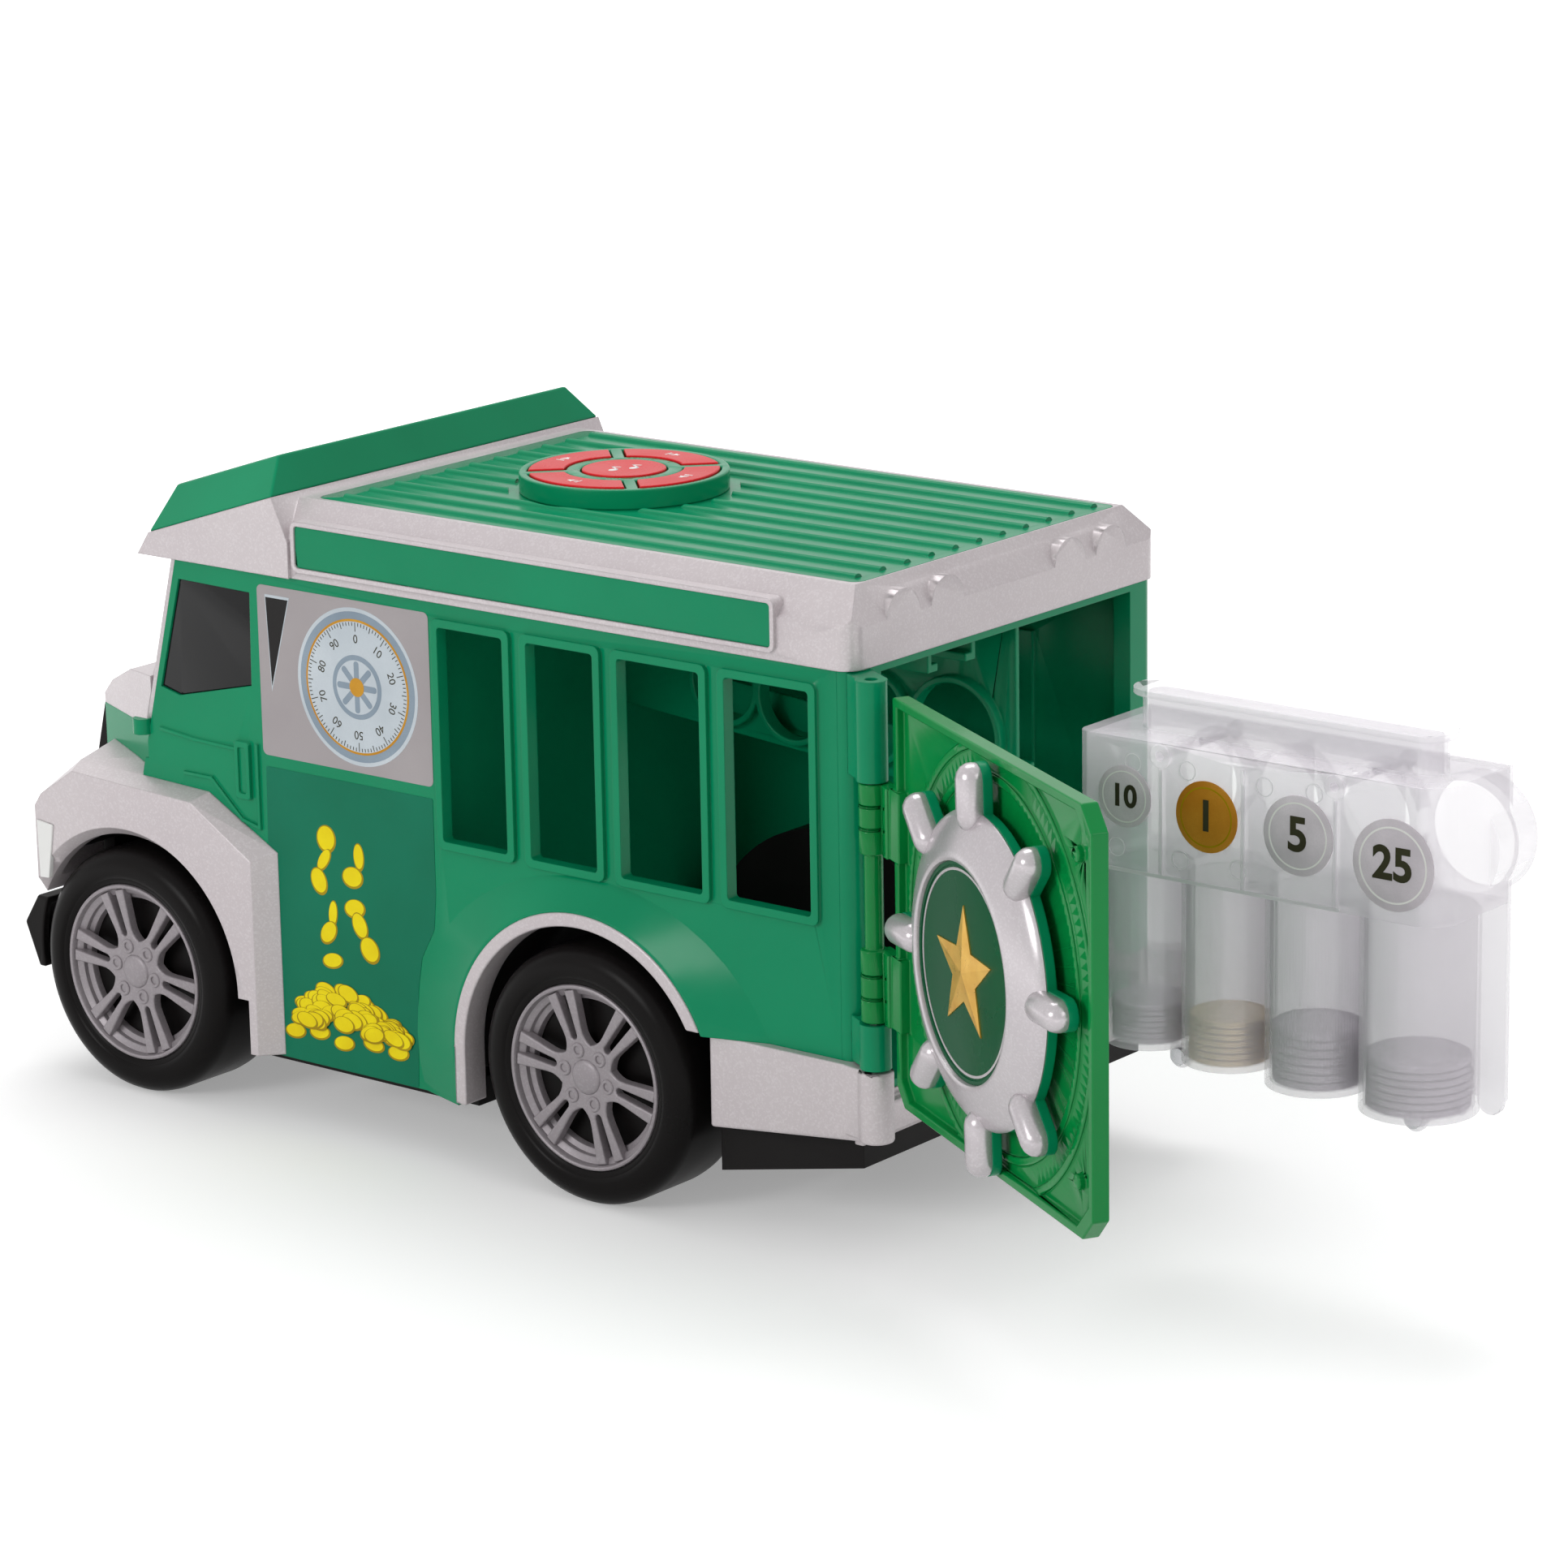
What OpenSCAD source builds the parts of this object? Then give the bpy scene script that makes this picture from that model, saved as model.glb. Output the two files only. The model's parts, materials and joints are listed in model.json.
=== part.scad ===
// Wheeled coin bank: a toy armoured truck with a coin sorting cartridge
// The truck stands on the plane z = 0, with its front at -X and its rear door at +X
// The origin is on the ground midway between the axles, and sizes are in millimetres

/* [Wheels] */
// Distance between the two axles
wheelbase = 154; // [148:1:158]
// Diameter of the tyres
tyre_d = 65.4; // [62:0.2:67]
// Width of one tyre
tyre_w = 27; // [24:0.5:28]
// Distance over the outer faces of the tyres
track_w = 131.5; // [130:0.5:134]
// Diameter of the silver wheel caps
rim_d = 47; // [44:0.5:50]
// Number of double spokes in a wheel cap
spoke_pairs = 6; // [4:1:7]
// Diameter of the steel axles
axle_d = 4; // [3:0.1:5]

/* [Body] */
// Width over the side walls
body_w = 120.5; // [117:0.5:122]
// Thickness of the moulded walls
wall = 2.4; // [1.8:0.1:2.8]
// Distance from the rear axle to the rear face of the body
rear_overhang = 81.5; // [79:0.5:86]
// Distance from the front axle back to the rear edge of the front fender
cab_depth = 45; // [43:0.5:47]
// Distance from the front axle forward to the tip of the bumper
front_overhang = 43; // [41:0.5:46]
// Height of the lower edge of the side walls
sill_z = 17.8; // [17:0.2:20]
// Height of the eaves, where the silver roof starts
eaves_z = 144.6; // [143:0.2:148]
// Height of the underside of the cargo floor
floor_z = 41; // [40:0.2:43]
// Height at which the rear bumper ends and the green wall starts
belt_z = 50.3; // [49:0.1:52]
// Height of the underside of the chassis
chassis_z = 14; // [13:0.2:15.5]
// Height of the line between the green nose and the silver hood
hood_z = 97; // [95:0.2:99]

/* [Windows] */
// Width of the two front window frames
window_w_front = 25.3; // [22:0.1:26]
// Width of the two rear window frames
window_w_rear = 29.4; // [26:0.1:30]
// Width of the wall left between two window frames
window_gap = 3.4; // [2.5:0.1:3.8]
// Lower edge of the window frames
window_z = 82.1; // [81.5:0.1:88]
// Height of the window frames
window_h = 58.4; // [50:0.2:59]
// Width of one side of a raised window frame
frame_w = 2.1; // [1.6:0.1:3]
// How far a window frame stands off the wall
frame_out = 1.2; // [0.8:0.1:2]

/* [Roof] */
// Height of the green roof panel
roof_z = 163.4; // [162:0.2:166]
// Height of the upright part of the silver roof edge
roof_edge_h = 10.1; // [8:0.1:11]
// How far the silver roof edge slopes inwards
roof_slope = 8.5; // [6:0.1:9]
// How far the roof stands out over the side walls
roof_lip = 1.5; // [1:0.1:2]
// Number of ribs on the roof
rib_count = 11; // [7:1:11]
// Distance between two ribs
rib_pitch = 9.4; // [8:0.1:9.6]
// Height of the ribs
rib_h = 0.9; // [0.5:0.1:1.5]
// Outer diameter of the button housing
pod_d = 52.8; // [50:0.2:55]
// Height of the button housing above the roof
pod_h = 5; // [4:0.1:7]
// How far a button can be pressed
press_travel = 1.2; // [0.8:0.1:1.3]

/* [Rear door] */
// Width of the door
door_w = 108.5; // [104:0.5:110]
// Height of the door
door_h = 97.3; // [94:0.1:98.5]
// Thickness of the door
door_t = 4.2; // [3.6:0.1:4.6]
// Angle at which the door stands open
door_open = 119.9; // [90:0.1:130]
// Diameter of the hinge pin
pin_d = 3; // [2.4:0.1:3.4]
// Outer diameter of the hinge barrel
barrel_d = 6.6; // [6:0.1:7]
// Outer diameter of the handwheel without its knobs
handwheel_d = 72.4; // [68:0.2:76]
// Diameter of the green disc in the handwheel
disc_d = 50.2; // [46:0.2:54]
// Number of knobs round the handwheel
knob_count = 8; // [5:1:10]
// Diameter of a knob
knob_d = 7.4; // [6:0.1:8]
// Length that a knob stands out of the handwheel
knob_out = 11; // [7:0.1:12]

/* [Coin cartridge] */
// Diameter of the ten cent coin
ten_d = 17.9; // [17:0.05:18.4]
// Diameter of the one cent coin
one_d = 19.05; // [18.5:0.05:19.6]
// Diameter of the five cent coin
five_d = 21.2; // [20.6:0.05:21.8]
// Diameter of the twenty-five cent coin
quarter_d = 24.26; // [23.6:0.05:24.6]
// Number of coins in each stack
coin_count = 7; // [1:1:12]
// Room round a coin in its tube
coin_room = 0.5; // [0.4:0.05:0.7]
// Wall of the clear cartridge
shell_t = 1.1; // [1:0.05:1.3]
// Space between two tubes of the cartridge
tube_gap = 0.3; // [0.3:0.1:1]
// How much deeper each larger tube reaches
tube_drop = 1.4; // [0:0.1:2]
// How far the cartridge is pulled out of the truck
pull_out = 151; // [0:1:155]
// Height of the cartridge from the bottom of its shortest tube to the top of its box
sorter_h = 75; // [72:0.5:76]
// Height of the box at the top of the cartridge
sorter_box_h = 32; // [31:0.5:34]
// Slope of the coin ramp in degrees
ramp_slope = 4.6; // [3:0.1:5]

/* [Hidden] */

$fn = 48;
green = [0.07, 0.52, 0.36];
silver = [0.76, 0.73, 0.74];
black = [0.06, 0.06, 0.06];
clear = [0.85, 0.88, 0.9, 0.45];

// Room round a turning shaft, between sliding parts and between joined parts
turn_fit = 0.05;
slide_fit = 0.4;
join_fit = 0.1;

// Main planes of the truck
axle_x = wheelbase / 2;
axle_z = tyre_d / 2;
side_y = body_w / 2;
wall_y = side_y - wall;
nose_y = side_y - 16.5;
wheel_y = track_w / 2;
rear_x = axle_x + rear_overhang;
cab_x = cab_depth - axle_x;
nose_x = -axle_x - front_overhang;
bay_x = rear_x - 134;
post_x = rear_x - 5;

// Wheel arches, from the tyre outwards
well_in = axle_z + 5.8;
well_out = well_in + 2;
trim_in = axle_z + 5.3;
trim_out = trim_in + 3.5;
lip_in = axle_z + 3.8;
lip_out = axle_z + 6;
well_y = 33;
tub_y = 33;
tub_wall = 2.4;
tail_y = side_y - 4;

// Roof
trim_y = side_y + roof_lip;
edge_z = eaves_z + roof_edge_h;
top_y = trim_y - roof_slope;
roof_in_z = roof_z - wall;
panel_x = cab_x + 14.5;
panel_y = top_y - 1.4;
pod_x = axle_x - 37.5;
pod_z = roof_z + pod_h;

// Rear door and its hinge, in the closed position
pin_x = rear_x + 6.3;
pin_y = -side_y - 1.6;
boss_r = barrel_d / 2 + 0.5;
door_in = rear_x + slide_fit;
door_out = door_in + door_t;
door_y = 1;
door_z = 93.05;
opening_y = side_y - 10.25;
wheel_turn_y = 2.45;
wheel_turn_z = 92.3;
hub_r = 5;
boss_low = belt_z + 11.7;
boss_high = 120.3;

// Coin cartridge, in the pushed in position
sorter_z = eaves_z - 14.1;
tube_z = sorter_z - sorter_h;
cell_z = sorter_z - sorter_box_h;
front_y = -28.75;
back_y = -0.35;
web_y = -16.2;
flange_y = -14.75;
flange_z = sorter_z + 8;
ten_r = ten_d / 2 + coin_room;
one_r = one_d / 2 + coin_room;
five_r = five_d / 2 + coin_room;
quarter_r = quarter_d / 2 + coin_room;
tube_step = 2 * shell_t + tube_gap;
quarter_x = rear_x - 26;
five_x = quarter_x - quarter_r - five_r - tube_step;
one_x = five_x - five_r - one_r - tube_step;
ten_x = one_x - one_r - ten_r - tube_step;
tubes = [
    [ten_x, ten_r, tube_z], [one_x, one_r, tube_z - tube_drop],
    [five_x, five_r, tube_z - 2 * tube_drop], [quarter_x, quarter_r, tube_z - 3 * tube_drop]
];
cell_x = ten_x - ten_r - shell_t - 2.2;
end_x = quarter_x + quarter_r + shell_t + 0.3;
collar_l = 6.6;
ring_l = 2.6;
ramp_y = 10.75;
ramp_t = 1.6;

function pillar_x(z) = cab_x - 40.8 + 0.258 * (z - 101.6);
function base_z(x) = chassis_z + max(0, x - axle_x - 36) * 9 / (rear_x - axle_x - 38);
function ledge_z(x) = sorter_z - 31.2 + (quarter_x - x) * tan(ramp_slope);
function inlet_x(tube) = tube[0] + 2.5;
function inlet_z(tube) = ledge_z(tube[0]) + tube[1] + 0.2;
function edge_x(i) = tubes[i][0] + tubes[i][1] + shell_t + tube_gap / 2;

module box(low, high) {
    translate(low) cube(high - low);
}

module prism_x(low, high) {
    translate([low, 0, 0]) rotate([90, 0, 90]) linear_extrude(high - low) children();
}

module prism_y(low, high) {
    translate([0, high, 0]) rotate([90, 0, 0]) linear_extrude(high - low) children();
}

module prism_z(low, high) {
    translate([0, 0, low]) linear_extrude(high - low) children();
}

module both_sides() {
    children();
    mirror([0, 1, 0]) children();
}

module disc(x, z, r) {
    translate([x, z]) circle(r);
}

module rounded(low, high, r) {
    translate([low[0] + r, low[1]]) square([high[0] - low[0] - 2 * r, high[1] - low[1]]);
    translate([low[0], low[1] + r]) square([high[0] - low[0], high[1] - low[1] - 2 * r]);
    for (x = [low[0] + r, high[0] - r], z = [low[1] + r, high[1] - r])
        disc(x, z, r);
}

// Base: chassis, battery box and electronics

screw_spots = [[-axle_x - 24, 20], [cab_x - 12, 26], [axle_x - 46, 27.5], [rear_x - 22, 30]];
cell_d = 14.2;
cell_l = 49;
battery_x = 0;

module side_well(x, front) {
    difference() {
        union() {
            prism_y(well_y, side_y - 2.7) difference() {
                disc(x, axle_z, well_out);
                disc(x, axle_z, well_in);
            }
            prism_y(well_y, well_y + 1.8) disc(x, axle_z, well_out - 0.5);
        }
        box([x - 60, 0, -20], [x + 60, 70, axle_z - 6]);
        if (front)
            box([x - 60, 0, 0], [nose_x + 15.8, 70, 90]);
        prism_y(well_y - 1, well_y + 3) disc(x, axle_z, 3.4);
    }
}

module tub() {
    difference() {
        union() {
            box([nose_x + 11.5, -tub_y, chassis_z], [rear_x - 40, tub_y, floor_z]);
            prism_y(-tail_y, tail_y) polygon([
                [axle_x + 36, chassis_z], [rear_x - 2, chassis_z + 9],
                [rear_x - 2, floor_z], [axle_x + 36, floor_z]
            ]);
            box([cab_x - 3, -wall_y, chassis_z + 2], [axle_x - well_out - 0.2, wall_y, chassis_z + 9]);
        }
        box([nose_x + 13.9, tub_wall - tub_y, chassis_z + tub_wall],
            [rear_x - 30, tub_y - tub_wall, floor_z + 1]);
        prism_y(tub_wall - tail_y, tail_y - tub_wall) polygon([
            [axle_x + 38.4, chassis_z + tub_wall], [rear_x - 4.4, chassis_z + 9 + tub_wall],
            [rear_x - 4.4, floor_z + 1], [axle_x + 38.4, floor_z + 1]
        ]);
        both_sides()
            box([cab_x - 1, tub_y, chassis_z + 4.4],
                [axle_x - well_out - 2.2, side_y - 4.4, chassis_z + 12]);
        box([battery_x - 26, -25.5, chassis_z - 1], [battery_x + 24, 25.5, chassis_z + 3]);
        for (i = [-2 : 2])
            box([axle_x - 29, i * 6 - 1, chassis_z - 1], [axle_x - 13, i * 6 + 1, chassis_z + 3]);
    }
}

module chassis() {
    color(black) difference() {
        union() {
            tub();
            both_sides() {
                side_well(axle_x, false);
                side_well(-axle_x, true);
            }
            for (x = [-axle_x, axle_x], side = [-1, 1])
                translate([x, side * (tub_y - 3.5), axle_z]) rotate([90, 0, 0])
                    cylinder(h = 7, r = 5, center = true);
            for (spot = screw_spots, side = [-1, 1])
                translate([spot[0], side * spot[1], base_z(spot[0]) + 1.2]) cylinder(h = 13, r = 4.4);
        }
        for (x = [-axle_x, axle_x])
            prism_y(-60, 60) disc(x, axle_z, axle_d / 2 + turn_fit);
        for (spot = screw_spots, side = [-1, 1]) {
            translate([spot[0], side * spot[1], base_z(spot[0]) - 1.5]) cylinder(h = 4.7, r = 3.2);
            translate([spot[0], side * spot[1], base_z(spot[0])]) cylinder(h = 13, r = 1.6);
        }
    }
}

module battery_cover() {
    color(black) difference() {
        union() {
            box([battery_x - 25.8, -25.3, chassis_z], [battery_x + 23.8, 25.3, chassis_z + 2]);
            for (x = [battery_x - 26, battery_x + 22])
                box([x + 0.4, -14, chassis_z + 2], [x + 2, 14, chassis_z + 6]);
        }
        for (i = [0 : 4])
            box([battery_x - 18 + 4 * i, -9, chassis_z - 1], [battery_x - 16 + 4 * i, 9, chassis_z + 0.8]);
    }
}

module batteries() {
    color([0.75, 0.55, 0.2]) for (i = [-1 : 1])
        translate([battery_x - 1 + i * (cell_d + 0.6), 0, chassis_z + 2 + cell_d / 2])
            rotate([90, 0, 0]) {
                cylinder(h = cell_l, d = cell_d, center = true);
                translate([0, 0, cell_l / 2]) cylinder(h = 1.3, d = 5.4);
            }
}

module base_screws() {
    color([0.7, 0.7, 0.72]) for (spot = screw_spots, side = [-1, 1])
        translate([spot[0], side * spot[1], base_z(spot[0]) + 1.2]) difference() {
            union() {
                cylinder(h = 2, r = 2.9);
                translate([0, 0, 1.8]) cylinder(h = 9, r = 1.5);
            }
            translate([0, 0, -0.1]) {
                translate([-1.8, -0.4, 0]) cube([3.6, 0.8, 1]);
                translate([-0.4, -1.8, 0]) cube([0.8, 3.6, 1]);
            }
        }
}

module circuit_board() {
    color([0.1, 0.35, 0.2]) {
        box([-axle_x + 8, -20, chassis_z + 7], [cab_x - 4, 20, chassis_z + 8.6]);
        box([-axle_x + 16, -6, chassis_z + 8.6], [-axle_x + 27, 5, chassis_z + 10]);
        for (y = [-15, 14])
            translate([-axle_x + 14, y, chassis_z + 8.6]) cylinder(h = 6, r = 2.6);
        for (x = [-axle_x + 11, cab_x - 7], y = [-17, 17])
            translate([x, y, chassis_z + tub_wall]) cylinder(h = 7 - tub_wall, r = 2);
    }
}

module speaker() {
    color([0.2, 0.2, 0.22]) translate([axle_x - 24, 0, chassis_z + tub_wall]) {
        difference() {
            cylinder(h = 5, r = 16);
            translate([0, 0, -1]) cylinder(h = 4, r = 14.5);
        }
        cylinder(h = 11, r = 8.5);
    }
}

// Side walls, nose, bulkhead and floor

frames = [
    for (i = [0 : 3])
        let (from_end = [
            2 * window_w_rear + window_w_front + 3 * window_gap,
            2 * (window_w_rear + window_gap),
            window_w_rear + window_gap,
            0
        ])
        let (w = i < 2 ? window_w_front : window_w_rear)
        [rear_x - 10.6 - from_end[i] - w, w]
];

slot_low = [bay_x + 4, 126.5];
slot_high = [bay_x + 32, 131.5];

module wall_outline() {
    difference() {
        polygon([
            [pillar_x(86) + wall, 74], [pillar_x(86) + wall, 86], [pillar_x(eaves_z) + wall, eaves_z],
            [post_x, eaves_z], [post_x, belt_z], [axle_x, belt_z], [axle_x, sill_z], [cab_x, sill_z],
            [cab_x, 50], [cab_x - 12, 66]
        ]);
        disc(axle_x, axle_z, trim_out);
        translate([axle_x - trim_out, 0]) square([60, axle_z]);
        disc(-axle_x, axle_z, trim_out);
    }
}

module cab_window(room) {
    polygon([
        [cab_x - 26.5 - room, 139 + room], [cab_x - 1.7 + room, 138.6 + room],
        [cab_x - 2.3 + room, 114.4 - room], [cab_x - 27.8, 108.4 - room],
        [pillar_x(109.9) + wall + 1.8 - room, 109.9 - room]
    ]);
}

module window_frame(frame) {
    low = [frame[0], window_z];
    high = [frame[0] + frame[1], window_z + window_h];
    rounded(low, high, 2);
}

module window_hole(frame) {
    low = [frame[0] + frame_w, window_z + frame_w];
    high = [frame[0] + frame[1] - frame_w, window_z + window_h - frame_w];
    rounded(low, high, 1);
}

module flare() {
    difference() {
        hull() {
            prism_y(side_y - 0.6, side_y)
                translate([axle_x, axle_z]) scale([1.19, 1]) circle(window_z - axle_z);
            prism_y(wheel_y - 0.6, wheel_y - 0.5) disc(axle_x, axle_z, trim_out + 0.8);
        }
        prism_y(side_y - 5, wheel_y + 5) disc(axle_x, axle_z, trim_out);
        box([axle_x, side_y - 5, -40], [axle_x + 80, wheel_y + 5, belt_z]);
        box([axle_x - 80, side_y - 5, -40], [axle_x + 1, wheel_y + 5, sill_z]);
        box([axle_x - trim_out, side_y - 5, -40], [axle_x + 1, wheel_y + 5, axle_z]);
        box([axle_x - 80, side_y - 5, -40], [axle_x + 80, side_y, 120]);
    }
}

module rib_path(points) {
    for (i = [0 : len(points) - 2])
        let (a = points[i], b = points[i + 1], d = (b - a) / norm(b - a) * 0.45, n = [-d[1], d[0]])
            polygon([a - d + n, b + d + n, b + d - n, a - d - n]);
}

module body_side(open_windows) {
    shown = open_windows ? frames : [frames[1], frames[2], frames[3]];
    difference() {
        union() {
            prism_y(wall_y, side_y) wall_outline();
            flare();
            for (frame = shown)
                prism_y(side_y, side_y + frame_out) window_frame(frame);
            prism_y(side_y, side_y + 0.7) {
                rib_path([[cab_x - 34.8, 98.7], [cab_x - 23.2, 97.6], [cab_x - 8.4, 97.2]]);
                rib_path([[cab_x - 26.8, 88.2], [cab_x - 17.5, 88.2], [cab_x - 7, 78.9], [cab_x - 1, 77.5],
                    [cab_x - 1, 99]]);
            }
            prism_y(side_y, side_y + 1.1) rounded([cab_x - 8.4, 84.5], [cab_x - 3.4, 99.6], 0.8);
            translate([pillar_x(98), side_y, 96.5]) cylinder(h = 4, r = 2.6);
            if (!open_windows)
                box([axle_x + 41, wall_y - 1.6, floor_z + 9.8], [axle_x + 47, wall_y + 0.1, 127]);
            if (!open_windows)
                prism_y(side_y - 0.1, side_y + 1.1) rounded(slot_low - [2.5, 4], slot_high + [2.5, 4], 2);
        }
        for (frame = shown)
            if (open_windows)
                prism_y(wall_y - 1, side_y + 5) window_hole(frame);
            else
                prism_y(side_y - 0.8, side_y + 5) window_hole(frame);
        prism_y(wall_y - 1, side_y + 1) cab_window(0);
        prism_y(side_y + 0.5, side_y + 2) rounded([cab_x - 7.2, 86], [cab_x - 4.6, 98], 0.6);
        if (!open_windows)
            prism_y(wall_y - 1, side_y + 2) rounded(slot_low, slot_high, 1);
        box([pillar_x(86) - 9, wall_y - 1, 90], [pillar_x(98) + 1.5, side_y, 104]);
    }
}

module body_left() {
    color(green) mirror([0, 1, 0]) body_side(true);
}

module body_right() {
    color(green) body_side(false);
}

module side_window() {
    prism_y(wall_y - 0.1, side_y - 0.5) cab_window(0);
    difference() {
        prism_y(wall_y - 1.6, wall_y) cab_window(1.6);
        box([cab_x - 60, 0, 0], [cab_x - 34.5, 70, 200]);
    }
}

module side_window_left() {
    color(black) mirror([0, 1, 0]) side_window();
}

module side_window_right() {
    color(black) side_window();
}

nose_plan = [
    [pillar_x(92) + 2.4, wall_y - 0.2], [nose_x + 15.8, nose_y], [nose_x + 15.8, -nose_y],
    [pillar_x(92) + 2.4, 0.2 - wall_y]
];
nose_inner = [
    [pillar_x(92) + 3.4, wall_y - 3.2], [nose_x + 18.2, nose_y - 2.2], [nose_x + 18.2, 2.2 - nose_y],
    [pillar_x(92) + 3.4, 3.2 - wall_y]
];

module cab_front() {
    color(green) difference() {
        prism_z(belt_z - 3.5, hood_z) polygon(nose_plan);
        prism_z(belt_z - 5, hood_z + 1) polygon(nose_inner);
        both_sides()
            prism_y(well_y - 0.6, 70) disc(-axle_x, axle_z, trim_out);
        both_sides()
            box([-axle_x - 45, well_y - 0.6, 0], [-axle_x + 20, 70, axle_z + 20]);
    }
}

module bulkhead() {
    color(green) prism_x(bay_x - 2.4, bay_x) polygon([
        [wall_y, floor_z + 2], [wall_y, edge_z - 2], [top_y - 2.6, roof_in_z - 1.2],
        [2.6 - top_y, roof_in_z - 1.2], [-wall_y, edge_z - 2], [-wall_y, floor_z + 2]
    ]);
}

module cargo_floor() {
    color(green) difference() {
        box([bay_x - 2.4, -wall_y, floor_z], [rear_x, wall_y, floor_z + 2]);
        both_sides()
            box([axle_x - well_out - 0.3, well_y - 0.2, floor_z - 1],
                [axle_x + well_out + 0.3, side_y, floor_z + 3]);
        both_sides()
            box([post_x, opening_y - join_fit, floor_z - 1], [rear_x + 1, side_y, floor_z + 3]);
    }
}

module link(a, b, w) {
    d = (b - a) / norm(b - a) * w / 2;
    n = [-d[1], d[0]];
    polygon([a + n, b + n, b - n, a - n]);
}

module rear_frame() {
    color(green) difference() {
        union() {
            prism_x(post_x, rear_x) difference() {
                polygon([
                    [side_y, belt_z], [side_y, eaves_z], [-side_y, eaves_z], [-side_y, belt_z]
                ]);
                polygon([
                    [opening_y, 0], [opening_y, eaves_z - 1.8],
                    [-opening_y, eaves_z - 1.8], [-opening_y, 0]
                ]);
            }
            for (span = [[belt_z + 0.7, boss_low], [boss_high, eaves_z - 0.4]]) {
                prism_z(span[0], span[1]) {
                    disc(pin_x, pin_y, boss_r);
                    link([pin_x, pin_y + 0.4], [rear_x - 2.4, 4 - side_y], 2 * boss_r - 1);
                }
            }
        }
        both_sides() difference() {
            box([rear_x - 4, side_y - 4, 0], [rear_x + 0.01, side_y + 0.01, 200]);
            translate([rear_x - 4, side_y - 4, 0]) cylinder(h = 200, r = 4);
        }
        translate([pin_x, pin_y, belt_z + 2.5]) cylinder(h = 120, r = pin_d / 2 + 0.02);
    }
}

// Roof: silver edge, green panel, spoiler, signs and buttons

sign_low = [cab_x + 15.5, eaves_z + 1.9];
sign_high = [rear_x - 21.5, eaves_z + 14.9];
dome_r = 6.3;

module roof_solid(inset) {
    intersection() {
        prism_x(cab_x - 6, rear_x + 0.4 - inset) polygon([
            [trim_y - inset, eaves_z - inset], [trim_y - inset, edge_z - inset * 0.4],
            [top_y - inset * 0.4, roof_z - inset], [inset * 0.4 - top_y, roof_z - inset],
            [inset - trim_y, edge_z - inset * 0.4], [inset - trim_y, eaves_z - inset]
        ]);
        prism_y(-trim_y, trim_y) polygon([
            [cab_x - 10, eaves_z - inset], [rear_x + 0.4 - inset, eaves_z - inset],
            [rear_x + 0.4 - inset, edge_z - inset * 0.4], [rear_x - 4.5 - inset * 0.4, roof_z],
            [cab_x - 10, roof_z]
        ]);
        prism_z(0, 200) {
            translate([cab_x - 20, inset - trim_y]) square([rear_x - cab_x + 15.4, 2 * (trim_y - inset)]);
            translate([cab_x - 20, inset + 5 - trim_y])
                square([rear_x - cab_x + 20.4 - inset, 2 * (trim_y - inset - 5)]);
            for (side = [-1, 1])
                disc(rear_x - 4.6, side * (trim_y - 5), 5 - min(inset, 4));
        }
    }
}

module visor_side(inset) {
    polygon([
        [cab_x - 38.2 + inset, eaves_z - (inset > 0 ? 1 : 0)],
        [cab_x + 14.5 - 2 * inset, eaves_z - (inset > 0 ? 1 : 0)],
        [cab_x + 14.5 - 2 * inset, edge_z - 0.9 - inset], [cab_x + 9.5 - inset, roof_z + 1.3 - inset],
        [cab_x - 34 + inset, eaves_z + 6 - inset * 0.4]
    ]);
}

module sign_frame() {
    prism_y(trim_y - 3, trim_y + 0.9) rounded(sign_low, sign_high, 2);
}

module sign_recess() {
    prism_y(trim_y - 0.3, trim_y + 2) rounded(sign_low + [1.2, 1.2], sign_high - [1.2, 1.2], 1);
}

module sign_plate() {
    prism_y(trim_y - 0.3, trim_y + 0.5) rounded(sign_low + [1.2, 1.2], sign_high - [1.2, 1.2], 1);
}

module roof_trim() {
    color(silver) difference() {
        union() {
            roof_solid(0);
            prism_y(-trim_y - 1, trim_y + 1) visor_side(0);
            both_sides() sign_frame();
            for (y = [-41.5, -24.5, 24.5, 41.5])
                prism_x(rear_x - 8, rear_x + 0.4) disc(y, edge_z, dome_r);
        }
        difference() {
            roof_solid(wall);
            both_sides() box([sign_low[0], trim_y - 3, 0], [sign_high[0], trim_y, 200]);
        }
        prism_y(-trim_y + 1.4, trim_y - 1.4) visor_side(wall);
        box([cab_x - 12, 1.4 - trim_y, eaves_z - 1], [cab_x + 12, trim_y - 1.4, edge_z - 3.3]);
        box([cab_x - 36 + 8, -48, 140], [cab_x + 6, 48, 200]);
        prism_z(edge_z, roof_z + 2) rounded([panel_x, -panel_y], [rear_x - 5, panel_y], 3);
        both_sides() sign_recess();
    }
}

module roof_panel() {
    color(green) {
        difference() {
            union() {
                prism_z(roof_in_z, roof_z)
                    rounded([panel_x + join_fit, join_fit - panel_y],
                        [rear_x - 5 - join_fit, panel_y - join_fit], 3);
                prism_z(roof_in_z - 1.2, roof_in_z)
                    rounded([panel_x - 2, 1 - top_y], [rear_x - 7.6, top_y - 1], 3);
                difference() {
                    for (i = [0 : rib_count - 1])
                        let (y = (i - (rib_count - 1) / 2) * rib_pitch)
                            prism_x(panel_x + 6, rear_x - 8.6) disc(y, roof_z + rib_h - 1.5, 1.5);
                    prism_z(roof_z, roof_z + 3) disc(pod_x, 0, pod_d / 2 + 2.6);
                    box([panel_x, -60, 0], [rear_x, 60, roof_z - 0.4]);
                }
            }
            prism_z(roof_z - 9, roof_z + 3) disc(pod_x, 0, 5);
        }
    }
}

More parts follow.
